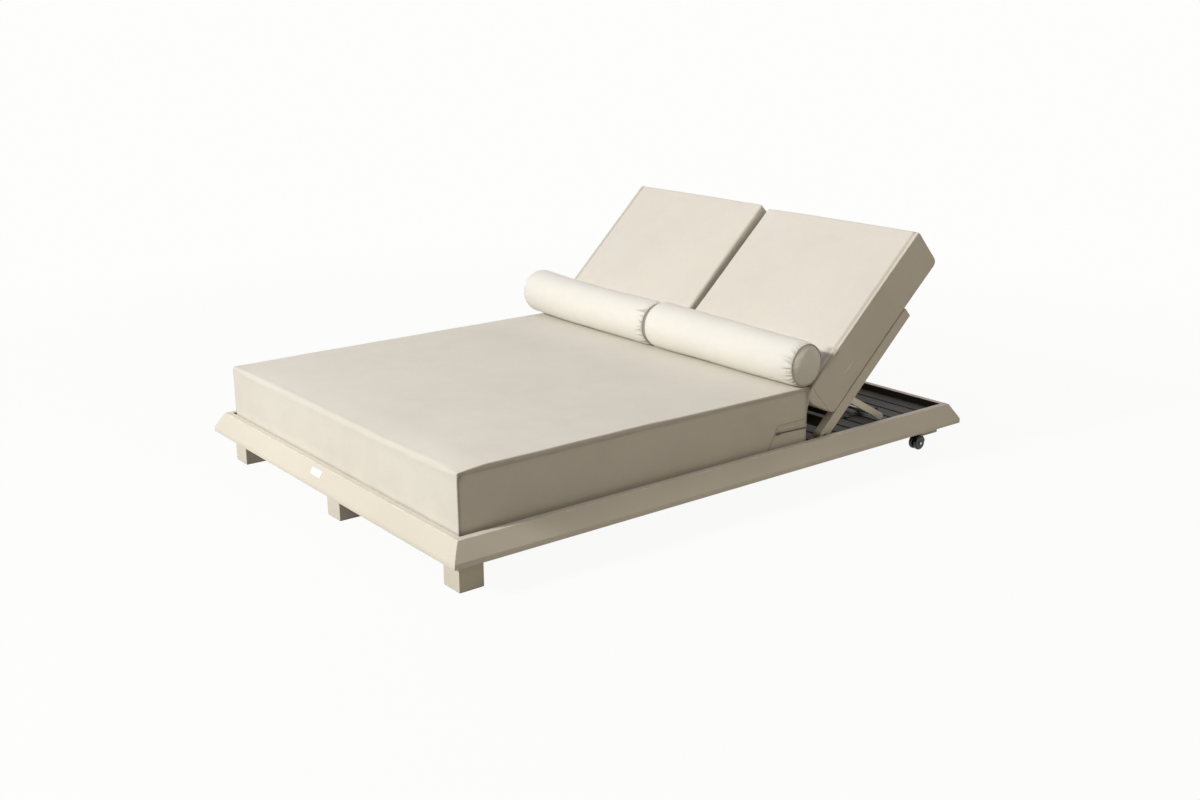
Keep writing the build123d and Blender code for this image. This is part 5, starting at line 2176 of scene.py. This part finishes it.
    def _lay_round(self, roll: Piece) -> None:
        """Gives the roll its weave map: round the barrel, and flat on the discs.

        Args:
            roll: the closed roll.
        """
        mesh = roll.data
        layer = mesh.uv_layers.new(name=WEAVE_MAP)
        offset = points_of(mesh) - np.array(self.centre)
        angle = np.arctan2(offset[:, 2], offset[:, 1])
        values = np.zeros((len(mesh.loops), 2))
        for face in mesh.polygons:
            around = abs(face.normal.x) < 0.8
            turns = [angle[mesh.loops[loop].vertex_index] for loop in face.loop_indices]
            wrap = max(turns) - min(turns) > math.pi
            for loop, turn in zip(face.loop_indices, turns):
                place = offset[mesh.loops[loop].vertex_index]
                if around:
                    turned = turn + 2 * math.pi if wrap and turn < 0 else turn
                    values[loop] = (place[0], turned * self.radius)
                else:
                    values[loop] = (place[1], place[2])
        layer.data.foreach_set("uv", values.ravel())


# ---------------------------------------------------------------- frame


class Metalwork:
    """What every hard sub-assembly shares: its solids, the finishes and the trees."""

    def __init__(self, frame: dict, finishes: Finishes, patterns: Patterns) -> None:
        """Keeps what the pieces are made from.

        Args:
            finishes: the lounger's materials.
            patterns: the Geometry Nodes trees.
        """
        self.nodes = frame["nodes"]
        self.finishes = finishes
        self.patterns = patterns

    def dress(self, nodes: Iterable[str], finish: Material, slot: str, rounding: float, segments: int = 2) -> None:
        """Dresses some nodes alike.

        Args:
            nodes: their names.
            finish: the material.
            slot: the record's material slot.
            rounding: radius of their edges.
            segments: facets across each rounded edge.
        """
        for node in nodes:
            dress(self.nodes, node, Trim(finish, slot, rounding, segments))


class BaseFrame(Metalwork):
    """The mitred rails, their feet, blocks and beams, and the blank plate."""

    def build(self) -> None:
        """Dresses the base's metal and lays its slats and screws."""
        rails = ("front_rail", "rear_rail", "left_rail", "right_rail")
        feet = ("left_foot", "middle_foot", "right_foot", "caster_blocks")
        beams = ("front_cross_beam", "rear_cross_beam", "centre_beam", "slat_bearers", "hinge_brackets")
        self.dress(rails, self.finishes.rail, "frame_paint", 0.0012, segments=3)
        self.dress(feet, self.finishes.frame, "frame_paint", 0.0010)
        self.dress(beams, self.finishes.frame, "frame_paint", 0.0007)
        self.dress(["hinge_beam"], self.finishes.slat, "slat_paint", 0.0015)
        self.dress(["prop_racks"], self.finishes.slat, "slat_paint", 0.0004)
        self.dress(["corner_keys"], self.finishes.mill, "bare_aluminium", 0.0008)
        self.dress(["foot_pads"], self.finishes.tread, "black_plastic", 0.0005)
        self.dress(["caster_plates"], self.finishes.steel, "steel", 0.0005)
        self.dress(["name_plate"], self.finishes.plate, "blank_plate", 0.0003)
        self._slats()
        self._screws()

    def _slats(self) -> None:
        """Lays both stretches of deck slats."""
        for node in ("seat_slats", "rear_slats"):
            spans = slat_places(self.nodes[node].data)
            row = self.patterns.slat_row(node, spans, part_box(node), 0.0022, self.finishes.slat)
            declare(row, "base", node)

    def _screws(self) -> None:
        """Puts a pan-head screw with a cross recess at the place of each solid one."""
        node = "slat_screws"
        islands = island_boxes(self.nodes[node].data)
        places = [((a[0] + b[0]) / 2, (a[1] + b[1]) / 2, b[2]) for a, b in islands]
        steel = self.finishes.steel
        screws = self.patterns.copy("slat_screws_finished", self._screw_head(), places, math.pi, 5, steel)
        declare(smooth(screws), "base", node)

    @staticmethod
    def _screw_head() -> Piece:
        """One screw, its head's top at the origin: a domed head with a cross recess and a short shank.

        Returns:
            The screw, to be copied.
        """
        head, shank, tall, long, recess, count = 0.0035, 0.002, 0.0012, 0.024, 0.0009, 12
        made = bmesh.new()

        def ring(z: float, radii: Sequence[float]) -> list[bmesh.types.BMVert]:
            """A ring of vertices at one height, each at its own radius."""
            turns = [math.pi * k / 6 for k in range(count)]
            return [made.verts.new((r * math.cos(t), r * math.sin(t), z)) for t, r in zip(turns, radii)]

        dome = [(0.0, 0.0016), (0.0001, 0.0024), (-0.0003, 0.0031), (-tall * 0.7, head)]
        loops = [ring(z, [radius] * count) for z, radius in [*dome, (-tall, head), (-tall, shank), (-long, shank)]]
        star = ring(-recess, (0.0014, 0.0006, 0.0006) * 4)
        steps = [(k, (k + 1) % count) for k in range(count)]
        for a, b in zip(loops, loops[1:]):
            for k, m in steps:
                made.faces.new((a[k], b[k], b[m], a[m]))
        for k, m in steps:
            made.faces.new((loops[0][k], loops[0][m], star[m], star[k]))
        made.faces.new(star)
        made.faces.new(loops[-1])
        bmesh.ops.recalc_face_normals(made, faces=made.faces)
        mesh = bpy.data.meshes.new("screw")
        made.to_mesh(mesh)
        made.free()
        return new_object("screw", mesh)


def island_boxes(mesh: Mesh) -> list[tuple[np.ndarray, np.ndarray]]:
    """Lowest and highest corner of each separate solid in a node's mesh.

    Args:
        mesh: the node's mesh.

    Returns:
        The corners, ordered by place.
    """
    made = bmesh.new()
    made.from_mesh(mesh)
    bmesh.ops.remove_doubles(made, verts=made.verts, dist=NEAR)
    left = set(made.verts)
    boxes = []
    while left:
        front = [left.pop()]
        group = [front[0]]
        while front:
            vert = front.pop()
            for edge in vert.link_edges:
                other = edge.other_vert(vert)
                if other in left:
                    left.discard(other)
                    front.append(other)
                    group.append(other)
        places = np.array([v.co for v in group])
        boxes.append((places.min(0), places.max(0)))
    made.free()
    return sorted(boxes, key=lambda box: tuple(np.round(box[0], 4)))


def slat_places(mesh: Mesh) -> list[tuple[float, float]]:
    """Where each slat of a row starts and ends along Y.

    Args:
        mesh: the row's mesh.

    Returns:
        The spans, from the foot end on.
    """
    spans = {(round(float(a[1]), 5), round(float(b[1]), 5)) for a, b in island_boxes(mesh)}
    widest = max(b - a for a, b in spans)
    return sorted(span for span in spans if span[1] - span[0] > 0.8 * widest)


class Caster(Metalwork):
    """One swivel caster: hood, axle and twin wheels."""

    def build(self, place: str) -> None:
        """Dresses the caster at one place.

        Args:
            place: left, middle or right.
        """
        self.dress([f"{place}_caster_hood"], self.finishes.shell, "black_plastic", 0.0007)
        self.dress([f"{place}_caster_axle"], self.finishes.steel, "steel", 0.0003)
        self.dress([f"{place}_caster_wheels"], self.finishes.tread, "caster_tread", 0.0)


class BackFrame(Metalwork):
    """One reclining back's metal: tubes, rails, slats, hinge pins and its prop."""

    def build(self, recline: Recline) -> None:
        """Dresses one back.

        Args:
            recline: its hinge and lean.
        """
        word = recline.side.word
        tubes = [f"{word}_{part}" for part in ("back_outer_tube", "back_inner_tube", "back_top_rail")]
        legs = [f"{word}_{part}" for part in ("prop_outer_leg", "prop_inner_leg")]
        rods = [f"{word}_{part}" for part in ("hinge_pins", "prop_pins", "prop_rod")]
        self.dress(tubes, self.finishes.frame, "frame_paint", 0.0012, segments=3)
        self.dress([f"{word}_back_bottom_rail"], self.finishes.slat, "slat_paint", 0.0012)
        # The legs' lighter coat is painted light; their paint is the frame's.
        self.dress(legs, self.finishes.prop, "frame_paint", 0.0010)
        self.dress(rods, self.finishes.steel, "steel", 0.0004)
        self.dress([f"{word}_back_end_caps"], self.finishes.cap, "cap_plastic", 0.0008)
        self._slats(recline)

    def _slats(self, recline: Recline) -> None:
        """Lays the thin slats between the tubes.

        Args:
            recline: the back's hinge and lean.
        """
        node = f"{recline.side.word}_back_slats"
        axes = recline.axes()
        mesh = self.nodes[node].data.copy()
        set_points(mesh, axes.to_local(points_of(mesh)))
        solid = points_of(mesh)
        corners = (solid.min(0), solid.max(0))
        row = self.patterns.slat_row(node, slat_places(mesh), corners, 0.0012, self.finishes.slat)
        set_points(row.data, axes.to_row(points_of(row.data)))
        bpy.data.meshes.remove(mesh)
        declare(row, f"{recline.side.word}_back", node)


# ---------------------------------------------------------------- studio


@dataclass(frozen=True)
class Softbox:
    """One studio lamp: where it stands, what it faces, its size, power and tint."""

    name: str
    place: Place
    target: Place
    size: float
    power: float
    tint: Colour
    glare: bool = True

    def build(self) -> None:
        """Makes the lamp."""
        light = bpy.data.lights.new(self.name, "AREA")
        light.shape = "SQUARE"
        light.size = self.size
        light.energy = self.power
        light.color = self.tint
        lamp = new_object(self.name, light)
        lamp.location = self.place
        lamp.rotation_mode = "QUATERNION"
        lamp.rotation_quaternion = (Vector(self.target) - Vector(self.place)).to_track_quat("-Z", "Y")
        lamp.visible_glossy = self.glare


@dataclass(frozen=True)
class Studio:
    """The pale floor, the lamps, the surrounding light and the camera."""

    ambient: Colour = (0.016, 0.014, 0.011)
    background: Colour = (0.985, 0.985, 0.98)
    floor_matt: Colour = (0.38, 0.352, 0.322)
    floor_pale: Colour = (0.9, 0.9, 0.9)
    camera_place: Place = (3.69499, -2.85036, 1.56552)
    camera_right: Place = (0.6176343, 0.78646047, -0.00279247)
    camera_up: Place = (-0.21886305, 0.17528887, 0.95988165)
    camera_ahead: Place = (-0.75539846, 0.59224466, -0.28039156)
    lens: float = 40.67
    sensor: float = 36.0
    floor_half: float = 40.0
    lamps: tuple[Softbox, ...] = (
        Softbox("foot_softbox", (-0.8, -7.8, 4.9), (0.0, -0.3, 0.3), 0.8, 715.0, (1.0, 1.01, 0.99)),
        Softbox("sky_softbox", (0.2, 0.3, 3.6), (0.2, 0.3, 0.0), 7.0, 80.0, (1.0, 0.94, 1.02)),
        Softbox("right_softbox", (4.5, 1.0, 2.2), (0.4, 0.2, 0.3), 2.5, 32.0, (1.0, 0.92, 0.66)),
        Softbox("rear_softbox", (-3.8, 6.2, 1.4), (-0.2, 0.4, 0.3), 3.0, 160.0, (1.0, 0.96, 0.90), False),
    )

    def build(self) -> None:
        """Makes the whole studio."""
        self._camera()
        self._world()
        self._floor()
        for lamp in self.lamps:
            lamp.build()
        bpy.context.scene.view_settings.view_transform = "Standard"

    def _camera(self) -> None:
        """Sets the camera at the photograph's place and angle."""
        data = bpy.data.cameras.new("camera")
        data.lens = self.lens
        data.sensor_width = self.sensor
        data.clip_start = 0.1
        data.clip_end = 200.0
        camera = new_object("camera", data)
        back = -Vector(self.camera_ahead)
        turn = Matrix((Vector(self.camera_right), Vector(self.camera_up), back)).transposed()
        camera.rotation_mode = "QUATERNION"
        camera.rotation_quaternion = turn.to_quaternion()
        camera.location = self.camera_place
        bpy.context.scene.camera = camera

    @staticmethod
    def _straight_rays(board: Board) -> Socket:
        """1 for rays that see the background white: straight, through something clear or in a reflection."""
        rays = board.add("ShaderNodeLightPath").outputs
        seen = board.maths("MAXIMUM", rays["Is Camera Ray"], rays["Is Transmission Ray"], clamp=True)
        return board.maths("MAXIMUM", seen, rays["Is Glossy Ray"], clamp=True)

    def _world(self) -> None:
        """Soft light from all round, seen as white by the camera and in reflections."""
        world = bpy.data.worlds.new("studio_world")
        bpy.context.scene.world = world
        world.use_nodes = True
        board = Board(world.node_tree)
        soft = board.call("ShaderNodeBackground", {"Color": self.ambient, "Strength": 1.0})
        white = board.call("ShaderNodeBackground", {"Color": self.background, "Strength": 1.0})
        light = board.call("ShaderNodeMixShader", {0: self._straight_rays(board), 1: soft, 2: white})
        board.feed(board.add("ShaderNodeOutputWorld").inputs["Surface"], light)

    def _floor(self) -> None:
        """A wide pale floor that keeps a faint shadow and melts into the white around it."""
        reach = self.floor_half
        corners = [(-reach, -reach, 0), (reach, -reach, 0), (reach, reach, 0), (-reach, reach, 0)]
        floor = new_piece("studio_floor", corners, [(0, 1, 2, 3)])
        material = bpy.data.materials.new("studio_floor")
        material.use_nodes = True
        board = Board(material.node_tree)
        place = board.add("ShaderNodeTexCoord").outputs["Object"]
        away = board.call("ShaderNodeVectorMath", {0: place}, "Value", operation="LENGTH")
        matt = board.call("ShaderNodeBsdfDiffuse", {"Color": self.floor_matt})
        pale = board.call("ShaderNodeBsdfDiffuse", {"Color": self.floor_pale})
        bright = board.call("ShaderNodeEmission", {"Color": self.background, "Strength": 1.0})
        shown = board.call("ShaderNodeMixShader", {0: board.span(away, 1.6, 4.5, 0.955, 1.0), 1: pale, 2: bright})
        cover = board.call("ShaderNodeMixShader", {0: self._straight_rays(board), 1: matt, 2: shown})
        board.feed(board.add("ShaderNodeOutputMaterial").inputs["Surface"], cover)
        paint(floor, material)


# ---------------------------------------------------------------- lounger


class Lounger:
    """The whole lounger, built piece by piece around its frame."""

    BOLSTER_SEED = {Side.LEFT: 29, Side.RIGHT: 17}

    def __init__(self, frame: dict) -> None:
        """Prepares the finishes and patterns.
        """
        self.frame = frame
        self.finishes = Finishes()
        self.patterns = Patterns()

    def build(self) -> None:
        """Builds every sub-assembly in order."""
        parts = (self.frame, self.finishes, self.patterns)
        self._report("base frame", lambda: BaseFrame(*parts).build())
        for place in ("left", "middle", "right"):
            self._report(f"{place} caster", lambda p=place: Caster(*parts).build(p))
        for side in Side:
            self._report(f"{side.word} half", lambda s=side: self._half(s))
        self._report("seat cushion", lambda: SeatCushion(self.finishes, self.patterns, "base").build())

    def _half(self, side: Side) -> None:
        """Builds one back with its cushion and bolster.

        Args:
            side: which half of the lounger.
        """
        recline = recline_of(self.frame, side)
        solid = points_of(self.frame["nodes"][f"{side.word}_back_cushion"].data)
        BackFrame(self.frame, self.finishes, self.patterns).build(recline)
        BackCushion(self.finishes, self.patterns, f"{side.word}_back_pad").build(recline, solid)
        Bolster(self.finishes, self.patterns, f"{side.word}_roll").build(side, self.BOLSTER_SEED[side])

    @staticmethod
    def _report(name: str, make: Callable[[], object]) -> None:
        """Makes one sub-assembly.

        Args:
            name: what is made; not used.
            make: makes it.
        """
        make()


def main() -> None:
    """Loads the frame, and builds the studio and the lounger."""
    logging.basicConfig(level=logging.INFO)
    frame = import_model()
    Studio().build()
    Lounger(frame).build()


if __name__ == "__main__":
    main()
